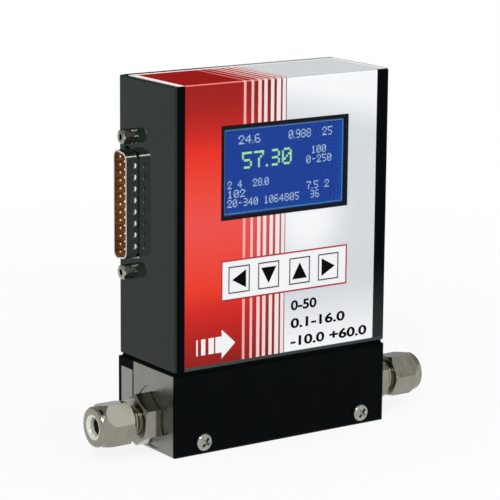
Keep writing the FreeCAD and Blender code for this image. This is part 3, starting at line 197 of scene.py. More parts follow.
# ---------------------------------------------------------------- Upper housing
# Sheet steel, bent to a tall box, coated satin black. The coat has a very fine orange peel and
# is a little duller in patches, and it still mirrors the plug softly on the left side.
def noise(wire, scale, detail=2.0, roughness=0.5):
    """A cloudy pattern, from about 0 to 1."""
    return add_node(wire.id_data, "ShaderNodeTexNoise",
                    {"Vector": wire, "Scale": scale, "Detail": detail,
                     "Roughness": roughness}).outputs["Fac"]


def bump(wire, strength, height):
    """A normal from a height map, whose full height is in millimetres."""
    return add_node(wire.id_data, "ShaderNodeBump",
                    {"Height": wire, "Strength": strength, "Distance": height * MM}).outputs[0]


def blend(mask, below, above):
    """Two colours mixed by a mask. Each is a wire or a colour read off a screen."""
    below, above = (colour if isinstance(colour, bpy.types.NodeSocket) else srgb(*colour)
                    for colour in (below, above))
    return add_node(mask.id_data, "ShaderNodeMix", {0: mask, 6: below, 7: above},
                    data_type="RGBA").outputs[2]


def wire_up(node, wires):
    """Link wires to a node's inputs by their names."""
    for label, wire in wires.items():
        wire.id_data.links.new(wire, node.inputs[label])


def make_group(name, inputs, outputs, kind="ShaderNodeTree"):
    """An empty group: its tree, what it is given, and the node that takes what it gives."""
    tree = bpy.data.node_groups.new(name, kind)
    for way, sockets in (("INPUT", inputs), ("OUTPUT", outputs)):
        for label, value in sockets.items():
            tree.interface.new_socket(name=label, in_out=way, socket_type="NodeSocket" + value)
    return tree, tree.nodes.new("NodeGroupInput").outputs, tree.nodes.new("NodeGroupOutput")


def new_material(name, metallic=0.0, specular=0.5, coat=0.0, gloss=0.2, others=()):
    """A material with only a shader, whose plain values are set on its own sockets."""
    material = bpy.data.materials.new(name)
    material.use_nodes = True
    tree = material.node_tree
    tree.nodes.clear()
    shader = add_node(tree, "ShaderNodeBsdfPrincipled",
                      {"Metallic": metallic, "Specular IOR Level": specular, "Coat Weight": coat,
                       "Coat Roughness": gloss, **dict(others)})
    add_node(tree, "ShaderNodeOutputMaterial", {"Surface": shader.outputs[0]})
    return material, tree, shader


def surfaced(name, group, colour, shade, values, **plain):
    """A material whose colour, roughness and normal come from a group."""
    material, tree, shader = new_material(name, **plain)
    source = add_node(tree, "ShaderNodeGroup",
                      {"Colour": srgb(*colour), "Shade": srgb(*shade), **values},
                      node_tree=group).outputs
    wire_up(shader, {"Base Color": source["Colour"], "Roughness": source["Roughness"],
                     "Normal": source["Normal"], "Coat Normal": source["Normal"]})
    return material


SURFACE = {"Colour": "Color", "Roughness": "Float", "Normal": "Vector"}
coating, given, gives = make_group(
    "coating", {"Colour": "Color", "Shade": "Color", "Grain": "Float", "Roughness": "Float",
                "Spread": "Float", "Bump": "Float"}, SURFACE)
coating_place = object_place(coating)
coating_patch = noise(coating_place, 45.0, 4.0, 0.6)
wire_up(gives, {
    "Colour": blend(map_range(coating_patch, 0.35, 0.7), given["Colour"], given["Shade"]),
    "Roughness": maths("MULTIPLY_ADD", maths("SUBTRACT", coating_patch, 0.5), given["Spread"],
                       given["Roughness"]),
    "Normal": bump(noise(coating_place, given["Grain"]), given["Bump"], 0.05)})


def coated(name, colour, shade, grain, roughness, spread, bumps, **plain):
    """Paint, plastic or rubber, with a fine grain and patches of its shade."""
    return surfaced(name, coating, colour, shade, {"Grain": grain, "Roughness": roughness,
                                                   "Spread": spread, "Bump": bumps}, **plain)


def dress(material, *names):
    """Give CAD nodes their finish."""
    for name in names:
        for slot in nodes[name].material_slots:
            slot.material = material


satin_black = coated("satin_black_coat", (23, 37, 32), (18, 30, 27), 2600, 0.3, 0.12, 0.05,
                     specular=0.0, coat=0.42, gloss=0.08)
dress(satin_black, "upper_housing")


# ---------------------------------------------------------------- Flow body and rear bar
# A block of stainless steel, milled and ground along its length, and a bar of plain aluminium
# behind it. Both show fine straight grinding lines and cloudy patches of duller metal.
grinding, given, gives = make_group(
    "grinding", {"Colour": "Color", "Shade": "Color", "Stretch": "Vector", "Roughness": "Float",
                 "Spread": "Float", "Bump": "Float"}, SURFACE)
grinding_place = object_place(grinding)
grinding_streak = noise(vector_maths("MULTIPLY", grinding_place, given["Stretch"]), 1.0, 3.0)
grinding_mask = map_range(maths("MULTIPLY", grinding_streak, noise(grinding_place, 160.0, 3.0)),
                          0.12, 0.4)
wire_up(gives, {
    "Colour": blend(grinding_mask, given["Shade"], given["Colour"]),
    "Roughness": maths("MULTIPLY_ADD", maths("SUBTRACT", grinding_mask, 0.5), given["Spread"],
                       given["Roughness"]),
    "Normal": bump(grinding_streak, given["Bump"], 0.02)})


def ground(name, colour, shade, stretch, roughness, spread, bumps, **plain):
    """Bare or plated metal, with tool marks along one way."""
    return surfaced(name, grinding, colour, shade,
                    {"Stretch": stretch, "Roughness": roughness, "Spread": spread, "Bump": bumps},
                    metallic=1.0, **plain)


dress(ground("ground_stainless", (147, 147, 140), (127, 127, 119), (120, 2600, 2600), 0.36, 0.16,
             0.35), "flow_body")
dress(ground("mill_aluminium", (156, 157, 151), (140, 141, 135), (90, 1800, 2400), 0.42, 0.14,
             0.30), "rear_bar")


# ---------------------------------------------------------------- Base plates and gasket
# Two black plates of anodised aluminium, the front one with bevelled edges, the rear one an angle
# that reaches over the bar. A thin rubber gasket lies between the base and the housing.
anodised = coated("black_anodised", (2, 6, 7), (1, 4, 5), 3200, 0.36, 0.14, 0.18,
                  specular=0.0, coat=0.08, gloss=0.3)
dress(anodised, "front_plate", "rear_plate")
dress(coated("gasket_rubber", (12, 14, 14), (8, 9, 9), 4200, 0.75, 0.15, 0.5, specular=0.02),
      "housing_gasket")


# ---------------------------------------------------------------- Plate screws
# Zinc-plated pan-head screws with a cross recess, two in front and two behind. Each head is a
# turned dome with a punched cross that narrows towards its floor.
def add_band(form, here, there):
    """The faces between two like rings of vertices."""
    for step, vert in enumerate(here):
        after = (step + 1) % len(here)
        form.faces.new((vert, here[after], there[after], there[step]))


def add_block(form, near, far):
    """A closed block between two like rings of points."""
    near, far = ([form.verts.new(point) for point in ring] for ring in (near, far))
    form.faces.new(near[::-1])
    form.faces.new(far)
    add_band(form, near, far)


def close_form(form, mesh):
    """Turn a form's faces outward, and write it to a mesh or to a new one of that name."""
    if isinstance(mesh, str):
        mesh = bpy.data.meshes.new(mesh)
    bmesh.ops.recalc_face_normals(form, faces=form.faces)
    form.to_mesh(mesh)
    form.free()
    return mesh


def lathe(name, profile, sides):
    """A turned piece: pairs of reach along Z and radius, in millimetres, closed into a ring."""
    form = bmesh.new()
    angles = [2 * math.pi * step / sides for step in range(sides)]
    rings = [[form.verts.new((radius * MM * math.cos(angle), radius * MM * math.sin(angle),
                              reach * MM)) for angle in angles] for reach, radius in profile]
    for here, there in zip(rings, rings[1:] + rings[:1]):
        add_band(form, here, there)
    bmesh.ops.remove_doubles(form, verts=form.verts, dist=0.0005 * MM)
    return close_form(form, name)


def new_piece(name, mesh, material=None):
    """An object at the origin with one finish."""
    piece = bpy.data.objects.new(name, mesh)
    if material is not None:
        mesh.materials.clear()
        mesh.materials.append(material)
    bpy.context.scene.collection.objects.link(piece)
    return piece


def baked_mesh(piece):
    """A new mesh of a piece as it shows, with its modifiers."""
    depsgraph = bpy.context.evaluated_depsgraph_get()
    return bpy.data.meshes.new_from_object(piece.evaluated_get(depsgraph), depsgraph=depsgraph)


def apply_modifiers(piece):
    """Make a piece's modifiers part of its mesh."""
    mesh = baked_mesh(piece)
    mesh.name = piece.name
    piece.modifiers.clear()
    piece.data = mesh
    return piece


def even_flats(piece, weight):
    """Keep a piece's flats flat to the eye, and apply its modifiers."""
    weighted = piece.modifiers.new("FlatFaces", "WEIGHTED_NORMAL")
    weighted.keep_sharp = True
    weighted.weight = weight
    return apply_modifiers(piece)


def round_edges(piece, width):
    """Break the sharp edges of a machined piece."""
    piece.data.shade_smooth()
    bevel = piece.modifiers.new("EdgeBreak", "BEVEL")
    bevel.width = width * MM
    bevel.segments = 2
    bevel.limit_method = "ANGLE"
    bevel.angle_limit = math.radians(25)
    return even_flats(piece, weight=60)


def cut_away(piece, tool, crossing=False):
    """Take a tool's form out of a piece. A crossing tool is made of parts that overlap."""
    cut = piece.modifiers.new("Cut", "BOOLEAN")
    cut.operation = "DIFFERENCE"
    cut.solver = "EXACT"
    cut.use_self = crossing
    cut.object = tool
    return apply_modifiers(piece)


def hand_over(piece, slot, *replaced):
    """Tie a finished piece to the frame."""
    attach(piece, "root")
    if replaced:
        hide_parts(*replaced)
    return piece


def end_tree(geometry, given, target):
    """End a geometry tree with real faces in one finish."""
    real = add_node(geometry.id_data, "GeometryNodeRealizeInstances", {"Geometry": geometry})
    finish = add_node(geometry.id_data, "GeometryNodeSetMaterial",
                      {"Geometry": real.outputs["Geometry"], "Material": given["Finish"]})
    wire_up(target, {0: finish.outputs["Geometry"]})


def run_tree(piece, tree, crease, values):
    """Run a geometry tree on a piece, and keep edges sharper than the crease hard."""
    run = piece.modifiers.new("Tree", "NODES")
    run.node_group = tree
    for item in tree.interface.items_tree:
        if item.name in values:
            run[item.identifier] = values[item.name]
    apply_modifiers(piece)
    piece.data.shade_smooth()
    piece.data.set_sharp_from_angle(angle=math.radians(crease))
    return piece


setting, given, gives = make_group(
    "set_like_pieces",
    {"Places": "Geometry", "Piece": "Object", "Turn": "Vector", "Finish": "Material"},
    {"Pieces": "Geometry"}, "GeometryNodeTree")
setting_form = add_node(setting, "GeometryNodeObjectInfo", {"Object": given["Piece"]})
setting_turn = add_node(setting, "FunctionNodeEulerToRotation", {"Euler": given["Turn"]})
setting_copies = add_node(setting, "GeometryNodeInstanceOnPoints",
                          {"Points": given["Places"], "Rotation": setting_turn.outputs[0],
                           "Instance": setting_form.outputs["Geometry"]})
end_tree(setting_copies.outputs["Instances"], given, gives)


def set_pieces(name, template, places, euler, material, crease=45):
    """Like pieces at a list of places, as one mesh."""
    mesh = bpy.data.meshes.new(name)
    mesh.from_pydata(places, [], [])
    return run_tree(new_piece(name, mesh), setting, crease,
                    {"Piece": template, "Turn": euler, "Finish": material})


zinc_plate = ground("zinc_plate", (176, 176, 170), (150, 150, 143), (900, 900, 900), 0.30, 0.14,
                    0.20)
head_radius, head_height = 3.1, 1.8
shank_radius, shank_chamfer = 1.6, 0.3
dome = [(0.0, head_radius), (0.62, head_radius), (1.02, 2.98), (1.35, 2.72), (1.6, 2.3),
        (1.74, 1.75), (head_height, 1.0), (head_height, 0.0)]
cross_floor, cross_top, cross_long, cross_narrow = 0.45, 2.2, 3.7, 1.05
form = bmesh.new()
for wide, tall in ((cross_long, cross_narrow), (cross_narrow, cross_long)):
    add_block(form, *([(x * wide * narrow_x * MM, y * tall * narrow_y * MM, height * MM)
                       for x, y in ((-1, -1), (1, -1), (1, 1), (-1, 1))]
                      for narrow_x, narrow_y, height in ((0.30, 0.42, cross_floor),
                                                         (0.53, 0.53, cross_top))))
punch = new_piece("cross_punch", close_form(form, "cross_punch"))
for side, sign, shank, spin in (("front", -1, 8.6, 38), ("rear", 1, 16.32, 12)):
    tail = [(-shank, 0.0), (-shank, shank_radius - shank_chamfer),
            (-shank + shank_chamfer, shank_radius), (0.0, shank_radius)]
    screw = new_piece("screw", lathe("screw", tail + dome, 64))
    round_edges(cut_away(screw, punch, crossing=True), 0.06)
    low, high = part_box(side + "_plate_screws")
    face = low.y if sign < 0 else high.y
    reach = high.x - head_radius * MM
    places = [(x, face - sign * head_height * MM, high.z - head_radius * MM)
              for x in (-reach, reach)]
    screws = set_pieces(side + "_screws", screw, places,
                        (-sign * math.pi / 2, math.radians(spin), 0), zinc_plate)
    hand_over(screws, "screw_steel", side + "_plate_screws")
    bpy.data.objects.remove(screw)
bpy.data.objects.remove(punch)


# ---------------------------------------------------------------- Tube fittings
# Stainless compression fittings for a quarter-inch tube. A hexagon body is screwed into each port,
# and a hexagon nut with a turned collar pulls two ferrules onto the tube. Thread shows between.
def mill_flats(mesh, flats, first):
    """Cut a hexagon on a turned blank, its width and the angle that its first flat faces."""
    form = bmesh.new()
    form.from_mesh(mesh)
    for step in range(6):
        angle = math.radians(first + 60 * step)
        way = Vector((math.cos(angle), math.sin(angle), 0))
        made = bmesh.ops.bisect_plane(form, geom=form.verts[:] + form.edges[:] + form.faces[:],
                                      dist=1e-7, plane_co=way * flats / 2 * MM, plane_no=way,
                                      clear_outer=True)
        edges = [item for item in made["geom_cut"] if isinstance(item, bmesh.types.BMEdge)]
        bmesh.ops.edgenet_fill(form, edges=edges)
    return close_form(form, mesh)


def seat(piece, matrix):
    """Put a piece in its place by moving its mesh, so that its object stays at the origin."""
    piece.data.transform(matrix)
    return piece


threading, given, gives = make_group(
    "cut_thread", {"Blank": "Geometry", "Radius": "Float", "Length": "Float", "Turns": "Float",
                   "Ridge": "Float", "Finish": "Material"},
    {"Thread": "Geometry"}, "GeometryNodeTree")
threading_line = add_node(threading, "GeometryNodeCurveSpiral",
                          {"Resolution": 48, "Rotations": given["Turns"],
                           "Start Radius": given["Radius"], "End Radius": given["Radius"],
                           "Height": given["Length"], "Reverse": False})
threading_ridge = add_node(threading, "GeometryNodeCurvePrimitiveCircle",
                           {"Resolution": 4, "Radius": given["Ridge"]})
threading_mesh = add_node(threading, "GeometryNodeCurveToMesh",
                          {"Curve": threading_line.outputs["Curve"],
                           "Profile Curve": threading_ridge.outputs["Curve"], "Fill Caps": True})
end_tree(threading_mesh.outputs["Mesh"], given, gives)

fitting_steel = ground("turned_stainless", (152, 150, 138), (134, 132, 120), (2600, 160, 160),
                       0.19, 0.12, 0.08)
# Inside the nut's mouth the steel is painted pale and matt, as painted light on the bore wall.
fitting_nodes = {item.type: item for item in fitting_steel.node_tree.nodes}
low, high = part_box("inlet_nut")
off_axis = vector_maths("ADD", object_place(fitting_steel.node_tree),
                        (0, -(low.y + high.y) / 2, -(low.z + high.z) / 2))
off_axis = vector_maths("LENGTH", vector_maths("MULTIPLY", off_axis, (0, 1, 1)), output="Value")
bore_edge, bore_inside = 4.5, 4.2
bore_painted_light = map_range(off_axis, bore_edge * MM, bore_inside * MM)
wire_up(fitting_nodes["BSDF_PRINCIPLED"], {
    "Base Color": blend(bore_painted_light, fitting_nodes["GROUP"].outputs["Colour"], (232, 232, 218)),
    "Metallic": map_range(bore_painted_light, 0.0, 1.0, 1.0, 0.15)})
connector_profile = [
    (-11.5, 2.4), (12.5, 2.4), (12.5, 3.2), (17.0, 3.2), (19.4, 4.6), (19.4, 5.0), (19.1, 5.3),
    (9.6, 5.3), (9.2, 5.0), (8.2, 5.0), (8.2, 7.7), (7.9, 8.2), (7.3, 9.18), (0.5, 9.18),
    (0.0, 8.6), (0.0, 6.55), (-10.7, 6.55), (-11.5, 5.8)]
nut_profile = [
    (0.0, 5.75), (0.5, 5.4), (8.2, 5.4), (10.4, 3.2), (11.8, 3.2), (12.3, 3.45), (12.7, 4.1),
    (12.7, 6.25), (12.5, 6.7), (12.0, 7.0), (10.9, 7.0), (10.6, 7.05), (8.35, 8.25), (0.9, 8.25),
    (0.0, 7.3)]
body_flats, nut_flats, nut_start, nut_length = 15.9, 14.29, 11.8, 12.7
thread_radius, thread_start, thread_length, thread_pitch, ridge = 5.3, 9.1, 10.0, 1.27, 0.36
for side, sign, nut_turn in (("inlet", -1, 9.0), ("outlet", 1, 5.0)):
    low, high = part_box(side + "_nut")
    middle = (low + high) / 2
    face = low.x if sign < 0 else high.x
    port = face - sign * (nut_start + nut_length) * MM
    here = (Matrix.Translation((port, middle.y, middle.z))
            @ Matrix.Rotation(sign * math.pi / 2, 4, "Y"))
    body = new_piece(side + "_fitting", mill_flats(lathe(side + "_fitting", connector_profile, 96),
                                                   body_flats, first=90), fitting_steel)
    round_edges(body, 0.12)
    hand_over(seat(body, here), "fitting_steel", side + "_connector")
    thread = new_piece(side + "_thread", bpy.data.meshes.new(side + "_thread"))
    run_tree(thread, threading, crease=40, values={
        "Radius": thread_radius * MM, "Length": thread_length * MM,
        "Turns": thread_length / thread_pitch, "Ridge": ridge * MM, "Finish": fitting_steel})
    hand_over(seat(thread, here @ Matrix.Translation((0, 0, thread_start * MM))), "fitting_steel")
    nut = new_piece(side + "_cap_nut", mill_flats(lathe(side + "_cap_nut", nut_profile, 96),
                                                  nut_flats, -sign * nut_turn), fitting_steel)
    round_edges(nut, 0.14)
    hand_over(seat(nut, here @ Matrix.Translation((0, 0, nut_start * MM))), "fitting_steel",
              side + "_nut")
dress(ground("ferrule_steel", (150, 148, 138), (118, 116, 108), (2600, 200, 200), 0.30, 0.12, 0.2),
      "front_ferrules", "back_ferrules")


# ---------------------------------------------------------------- Printed film
# One polyester film covers the front and folds back over the top. It is printed with a red field
# that lightens at mid-height, white rules that close up towards a white field, and black sides.
# On the top its inks are painted darker, as painted shade. At the fold the red has a painted
# highlight and the white a painted shade line, and the black side at the right is painted lighter
# towards the foot, as a painted reflection.
film_low, film_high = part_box("front_overlay")
film_front = film_low.y
HALF_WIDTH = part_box("upper_housing")[1].x / MM
TOP = film_high.z / MM


def front_places(tree):
    """The place, its axes in metres, and millimetres across and down from the upper left corner."""
    place = object_place(tree)
    axes = add_node(tree, "ShaderNodeSeparateXYZ", {"Vector": place}).outputs
    return (place, axes, maths("MULTIPLY_ADD", axes["X"], 1000.0, HALF_WIDTH),
            maths("MULTIPLY_ADD", axes["Z"], -1000.0, TOP))


def past(wire, edge, soft=0.02):
    """1 past an edge and 0 before it."""
    return map_range(wire, edge - soft, edge + soft)


def before(wire, edge, soft=0.02):
    """1 before an edge and 0 past it."""
    return map_range(wire, edge - soft, edge + soft, 1.0, 0.0)


def both(first, *others):
    """Where all masks hold."""
    for other in others:
        first = maths("MULTIPLY", first, other, clamp=True)
    return first


def either(first, *others):
    """Where any mask holds."""
    for other in others:
        first = maths("MAXIMUM", first, other, clamp=True)
    return first


def ramp(wire, length, stops, interpolation="LINEAR"):
    """A colour ramp over a length in millimetres, with colours read off a screen."""
    made = add_node(wire.id_data, "ShaderNodeValToRGB",
                    {"Fac": maths("MULTIPLY", wire, 1 / length)})
    made.color_ramp.interpolation = interpolation
    elements = made.color_ramp.elements
    for index, (place, colour) in enumerate(stops):
        stop = elements[index] if index < 2 else elements.new(place / length)
        stop.position = place / length
        stop.color = srgb(*colour)
    return made.outputs["Color"]


film, film_tree, film_shader = new_material("printed_film", specular=0.0, coat=0.03, gloss=0.25)
film_place, film_axes, across, down = front_places(film_tree)
rearward = maths("MULTIPLY_ADD", film_axes["Y"], 1000.0, -film_front / MM)
fold_middle, fold_soft = 0.25, 0.05
on_top = before(down, fold_middle, fold_soft)
on_front = past(down, fold_middle, fold_soft)
full_width = 2 * HALF_WIDTH
left_border, first_rule, last_rule, right_border = 3.6, 26.0, 44.75, 83.5
right_margin, right_edge, rear_margin, rear_edge = 85.5, 87.4, 29.4, 31.3
front_height, front_foot = 100.0, 96.7

# The red field and the bands that follow it. White shows between them as rules.
RED_BANDS = [(3.0, 26.9), (27.8, 30.15), (31.2, 32.95), (34.1, 35.35), (36.75, 37.95),
             (39.4, 40.4), (42.05, 42.75), (44.3, last_rule)]
stops = [(0.0, (0, 0, 0))]
for start, end in RED_BANDS:
    stops += [(start, (255, 255, 255)), (end, (0, 0, 0))]
red_mask = both(ramp(across, full_width, stops, "CONSTANT"), before(rearward, rear_margin))
red_field = ramp(down, front_height, [
    (0.0, (158, 38, 34)), (8.0, (170, 40, 36)), (16.0, (199, 45, 41)), (24.0, (235, 56, 44)),
    (36.0, (238, 76, 61)), (48.0, (240, 86, 80)), (58.0, (240, 78, 67)), (70.0, (238, 66, 49)),
    (78.0, (214, 47, 41)), (86.0, (188, 42, 38)), (97.0, (146, 38, 35))])
red_between_rules = ramp(down, front_height, [
    (0.0, (108, 38, 35)), (13.0, (128, 46, 44)), (24.0, (158, 58, 54)), (48.0, (188, 98, 98)),
    (60.0, (182, 82, 82)), (72.0, (162, 56, 50)), (86.0, (140, 48, 45)), (97.0, (118, 42, 38))])
fade_end = 41.0
red_front = blend(map_range(across, first_rule, fade_end), red_field, red_between_rules)
# On the top the red is painted darker, as painted shade.
red_ink_shaded_on_top = blend(on_top, red_front, (150, 22, 18))

# The white field, brightest in its middle, at the top and at the foot.
front_place = add_node(film_tree, "ShaderNodeCombineXYZ", {"X": across, "Y": down}).outputs[0]
glow_centre = (54.0, 50.0, 0.0)
glow = map_range(vector_maths("DISTANCE", front_place, glow_centre, "Value"),
                 2.0, 24.0, 1.0, 0.0, "SMOOTHERSTEP")
top_slope = -0.22
bright_top = map_range(maths("MULTIPLY_ADD", across, top_slope, down), -10.0, 6.0, 1.0, 0.0,
                       "SMOOTHSTEP")
bright_foot = map_range(down, 72.0, 98.0, smooth="SMOOTHSTEP")
white_front = blend(either(glow, bright_top, bright_foot), (218, 222, 226), (250, 251, 251))
# The white of the rules, pinker the narrower they are, and the white of the top. On the top the
# rules and the white field are painted darker, as painted shade.
rule_front = ramp(across, full_width, [
    (27.3, (246, 172, 170)), (30.7, (251, 190, 190)), (33.5, (251, 210, 208)),
    (38.6, (252, 226, 225)), (43.5, (248, 234, 232))])
rule_top_painted_shade = ramp(across, full_width, [
    (27.3, (206, 118, 112)), (30.7, (216, 142, 136)), (33.5, (224, 170, 162)),
    (38.6, (230, 196, 190)), (43.5, (226, 208, 203))])
inside_red = 15.0
rule_zone = both(past(across, inside_red), before(across, last_rule))
top_edge = either(past(rearward, rear_margin), before(across, left_border),
                  past(across, right_margin))
top_white_with_painted_shade = blend(top_edge, (204, 208, 207), (240, 232, 228))
top_white_with_painted_shade = blend(both(rule_zone, before(rearward, rear_margin)), top_white_with_painted_shade, rule_top_painted_shade)
# The film's white, with its top painted darker as shade.
white_ink = blend(on_top, blend(rule_zone, white_front, rule_front), top_white_with_painted_shade)

# All inks together, then the edges, the painted highlight and shade at the fold, the black sides
# with a painted reflection low on the right, and the foot.
print_and_painted_light = blend(red_mask, white_ink, red_ink_shaded_on_top)
rear_line = ramp(across, full_width, [(0.0, (20, 26, 23)), (24.0, (34, 40, 36)),
                                      (44.0, (128, 132, 128)), (88.0, (150, 154, 150))])
print_and_painted_light = blend(past(rearward, rear_edge), print_and_painted_light, rear_line)
print_and_painted_light = blend(both(past(across, right_edge), on_top), print_and_painted_light, (104, 112, 106))
# At the fold the red gets a painted highlight and the white a painted shade line.
fold_height, fold_depth = 0.46, 0.48
fold_painted_light = both(before(down, fold_height), before(rearward, fold_depth))
print_and_painted_light = blend(fold_painted_light, print_and_painted_light, blend(red_mask, (186, 190, 196), (234, 130, 124)))
# The black side at the right is painted lighter towards the foot, as a painted reflection.
side_painted_reflection = both(map_range(down, 66.0, 97.0, smooth="SMOOTHSTEP"), past(across, HALF_WIDTH))
side_mask = both(either(before(across, left_border), past(across, right_border)), on_front)
print_and_painted_light = blend(side_mask, print_and_painted_light, blend(side_painted_reflection, (6, 7, 10), (44, 50, 49)))
foot_ink = ramp(across, full_width, [(0.0, (72, 80, 72)), (40.0, (62, 68, 66)),
                                     (84.0, (60, 70, 76))])
foot_mask = both(past(down, front_foot), past(across, left_border), on_front)
print_and_painted_light = blend(foot_mask, print_and_painted_light, foot_ink)
film_skin = noise(film_place, 1500.0, 1.0)
film_normal = bump(film_skin, 0.05, 0.05)
wire_up(film_shader, {"Base Color": print_and_painted_light, "Normal": film_normal, "Coat Normal": film_normal,
                      "Roughness": map_range(film_skin, 0.0, 1.0, 0.42, 0.54)})
dress(film, "front_overlay")


# ---------------------------------------------------------------- Key strip
# Four film keys in a white strip with a dark red rim. Each key is a thin grey frame round a black
# arrow. They are screen-printed a hair above the film.
PRINT = 0.03


def lay_flat(name, outlines, material, slot, front, near, far):
    """Flat shapes before a plane, between two depths from it."""
    form = bmesh.new()
    for outline in outlines:
        add_block(form, *([((x - HALF_WIDTH) * MM, front - depth * MM, (TOP - y) * MM)
                           for x, y in outline] for depth in (near, far)))
    return hand_over(new_piece(name, close_form(form, name), material), slot)


def print_shapes(name, outlines, material, lift=0.0):
    """Flat ink on the film's front."""
    lay_flat(name, outlines, material, "printed_film", film_front, lift, lift + PRINT)


def bar(x0, y0, x1, y1):
    """A rectangle between two corners."""
    return [(x0, y0), (x1, y0), (x1, y1), (x0, y1)]


def rim(x0, y0, x1, y1, width):
    """A frame as four bars that meet in mitres."""
    outer = bar(x0, y0, x1, y1)
    inner = bar(x0 + width, y0 + width, x1 - width, y1 - width)
    return [[outer[step], outer[(step + 1) % 4], inner[(step + 1) % 4], inner[step]]
            for step in range(4)]


def ink(name, colour, shade):
    """Screen-printed ink."""
    return coated(name, colour, shade, 1500, 0.45, 0.08, 0.04, specular=0.0, coat=0.07)


white_print = ink("white_ink", (250, 250, 250), (244, 245, 246))
wine_print = ink("wine_ink", (186, 56, 60), (170, 46, 50))
grey_print = ink("grey_ink", (62, 64, 68), (48, 50, 54))
black_print = ink("black_ink", (8, 8, 10), (5, 5, 6))
strip, strip_rim, frame_line = (18.3, 61.1, 71.5, 75.3), 0.55, 0.42
print_shapes("key_strip", [bar(*strip)], white_print)
print_shapes("key_strip_rim", rim(*strip, strip_rim), wine_print, PRINT)
key_top, key_foot = 63.5, 72.9
middle_y, reach, wide = 68.2, 2.85, 3.15
boxes = []
arrows = []
for start, end, (way_x, way_y) in ((21.3, 30.1, (-1, 0)), (33.6, 42.4, (0, 1)),
                                   (46.7, 55.5, (0, -1)), (59.0, 67.8, (1, 0))):
    boxes += rim(start, key_top, end, key_foot, frame_line)
    middle_x = (start + end) / 2
    tail_x, tail_y = middle_x - way_x * reach, middle_y - way_y * reach
    arrows.append([(middle_x + way_x * reach, middle_y + way_y * reach),
                   (tail_x + way_y * wide, tail_y - way_x * wide),
                   (tail_x - way_y * wide, tail_y + way_x * wide)])
print_shapes("key_frames", boxes, grey_print, PRINT)
print_shapes("key_arrows", arrows, black_print, PRINT)


# ---------------------------------------------------------------- Flow arrow
# A white arrow at the lower left of the film, with three bars of growing width behind it that
# give the way of the flow.
tail_top, tail_foot = 87.4, 93.0
print_shapes("flow_arrow", [
    bar(8.3, tail_top, 8.9, tail_foot), bar(10.3, tail_top, 12.0, tail_foot),
    bar(13.3, tail_top, 15.5, tail_foot),
    [(16.1, tail_top), (18.7, tail_top), (18.7, 85.1), (24.3, 90.2), (18.7, 95.2),
     (18.7, tail_foot), (16.1, tail_foot)]], white_print)


# ---------------------------------------------------------------- Range numbers
# Three lines of bold plain numbers at the lower right of the film, one range for each measured
# quantity.
def print_number(name, text, x, y, height, width, boldness, material):
    """Digits as a thin solid: left end, base line, cap height and width."""
    curve = bpy.data.curves.new(name, "FONT")
    curve.body = text
    curve.offset = boldness
    letters = bpy.data.objects.new(name, curve)
    bpy.context.scene.collection.objects.link(letters)
    mesh = baked_mesh(letters)
    bpy.data.objects.remove(letters)
    form = bmesh.new()
    form.from_mesh(mesh)
    bmesh.ops.remove_doubles(form, verts=form.verts, dist=1e-5)
    bmesh.ops.dissolve_limit(form, angle_limit=math.radians(0.5), verts=form.verts,
                             edges=form.edges)
    xs, ys = zip(*(vert.co.xy for vert in form.verts))
    low_x, low_y, high_x, high_y = min(xs), min(ys), max(xs), max(ys)
    for vert in form.verts:
        across_text = (vert.co.x - low_x) / (high_x - low_x) * width
        up_text = (vert.co.y - low_y) / (high_y - low_y) * height
        vert.co = ((x + across_text - HALF_WIDTH) * MM, film_front, (TOP - y + up_text) * MM)
    raised = bmesh.ops.extrude_face_region(form, geom=form.faces[:])["geom"]
    raised = [item for item in raised if isinstance(item, bmesh.types.BMVert)]
    bmesh.ops.translate(form, verts=raised, vec=(0, -PRINT * MM, 0))
    bmesh.ops.triangulate(form, faces=form.faces[:])
    mesh.name = name
    return new_piece(name, close_form(form, mesh), material)


range_left, range_height = 47.6, 3.6
for index, (text, base, width) in enumerate((("0-50", 82.2, 11.0), ("0.1-16.0", 88.6, 23.4),
                                             ("-10.0 +60.0", 95.0, 33.2)), start=1):
    hand_over(print_number(f"range_{index}", text, range_left, base, range_height, width, 0.03,
                           black_print), "printed_film")


# ---------------------------------------------------------------- Display
# A blue graphic module in a black moulded frame behind a clear lens. Its lit pixels are pale, and
# the large number in the middle is green. The backlight is a little brighter along the edges. A
# pale line round the screen is a painted highlight of the lens edge, drawn as glowing strips.
dress(coated("bezel_black", (14, 15, 19), (9, 10, 13), 3000, 0.42, 0.12, 0.2, specular=0.0,
             coat=0.2, gloss=0.35), "display_bezel")

glass, glass_tree, glass_shader = new_material("clear_lens", others={
    "Base Color": (1, 1, 1, 1), "Transmission Weight": 1.0, "IOR": 1.12})
glass_skin = noise(object_place(glass_tree), 90.0)
wire_up(glass_shader, {"Roughness": map_range(glass_skin, 0.0, 1.0, 0.0, 0.02)})
low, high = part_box("display_window")
form = bmesh.new()
bmesh.ops.create_cube(form, size=1.0)
lens = new_piece("display_lens", close_form(form, "display_lens"), glass)
pixel_room = Vector((0, 0.14 * MM, 0))
seat(lens, Matrix.Translation((low + high - pixel_room) / 2)
     @ Matrix.Diagonal((*(high - low - pixel_room), 1)))
round_edges(lens, 0.15)
hand_over(lens, "clear_lens", "display_window")
screen_left = low.x / MM + HALF_WIDTH
screen_right = high.x / MM + HALF_WIDTH
screen_top = TOP - high.z / MM
screen_foot = TOP - low.z / MM
panel_front = high.y

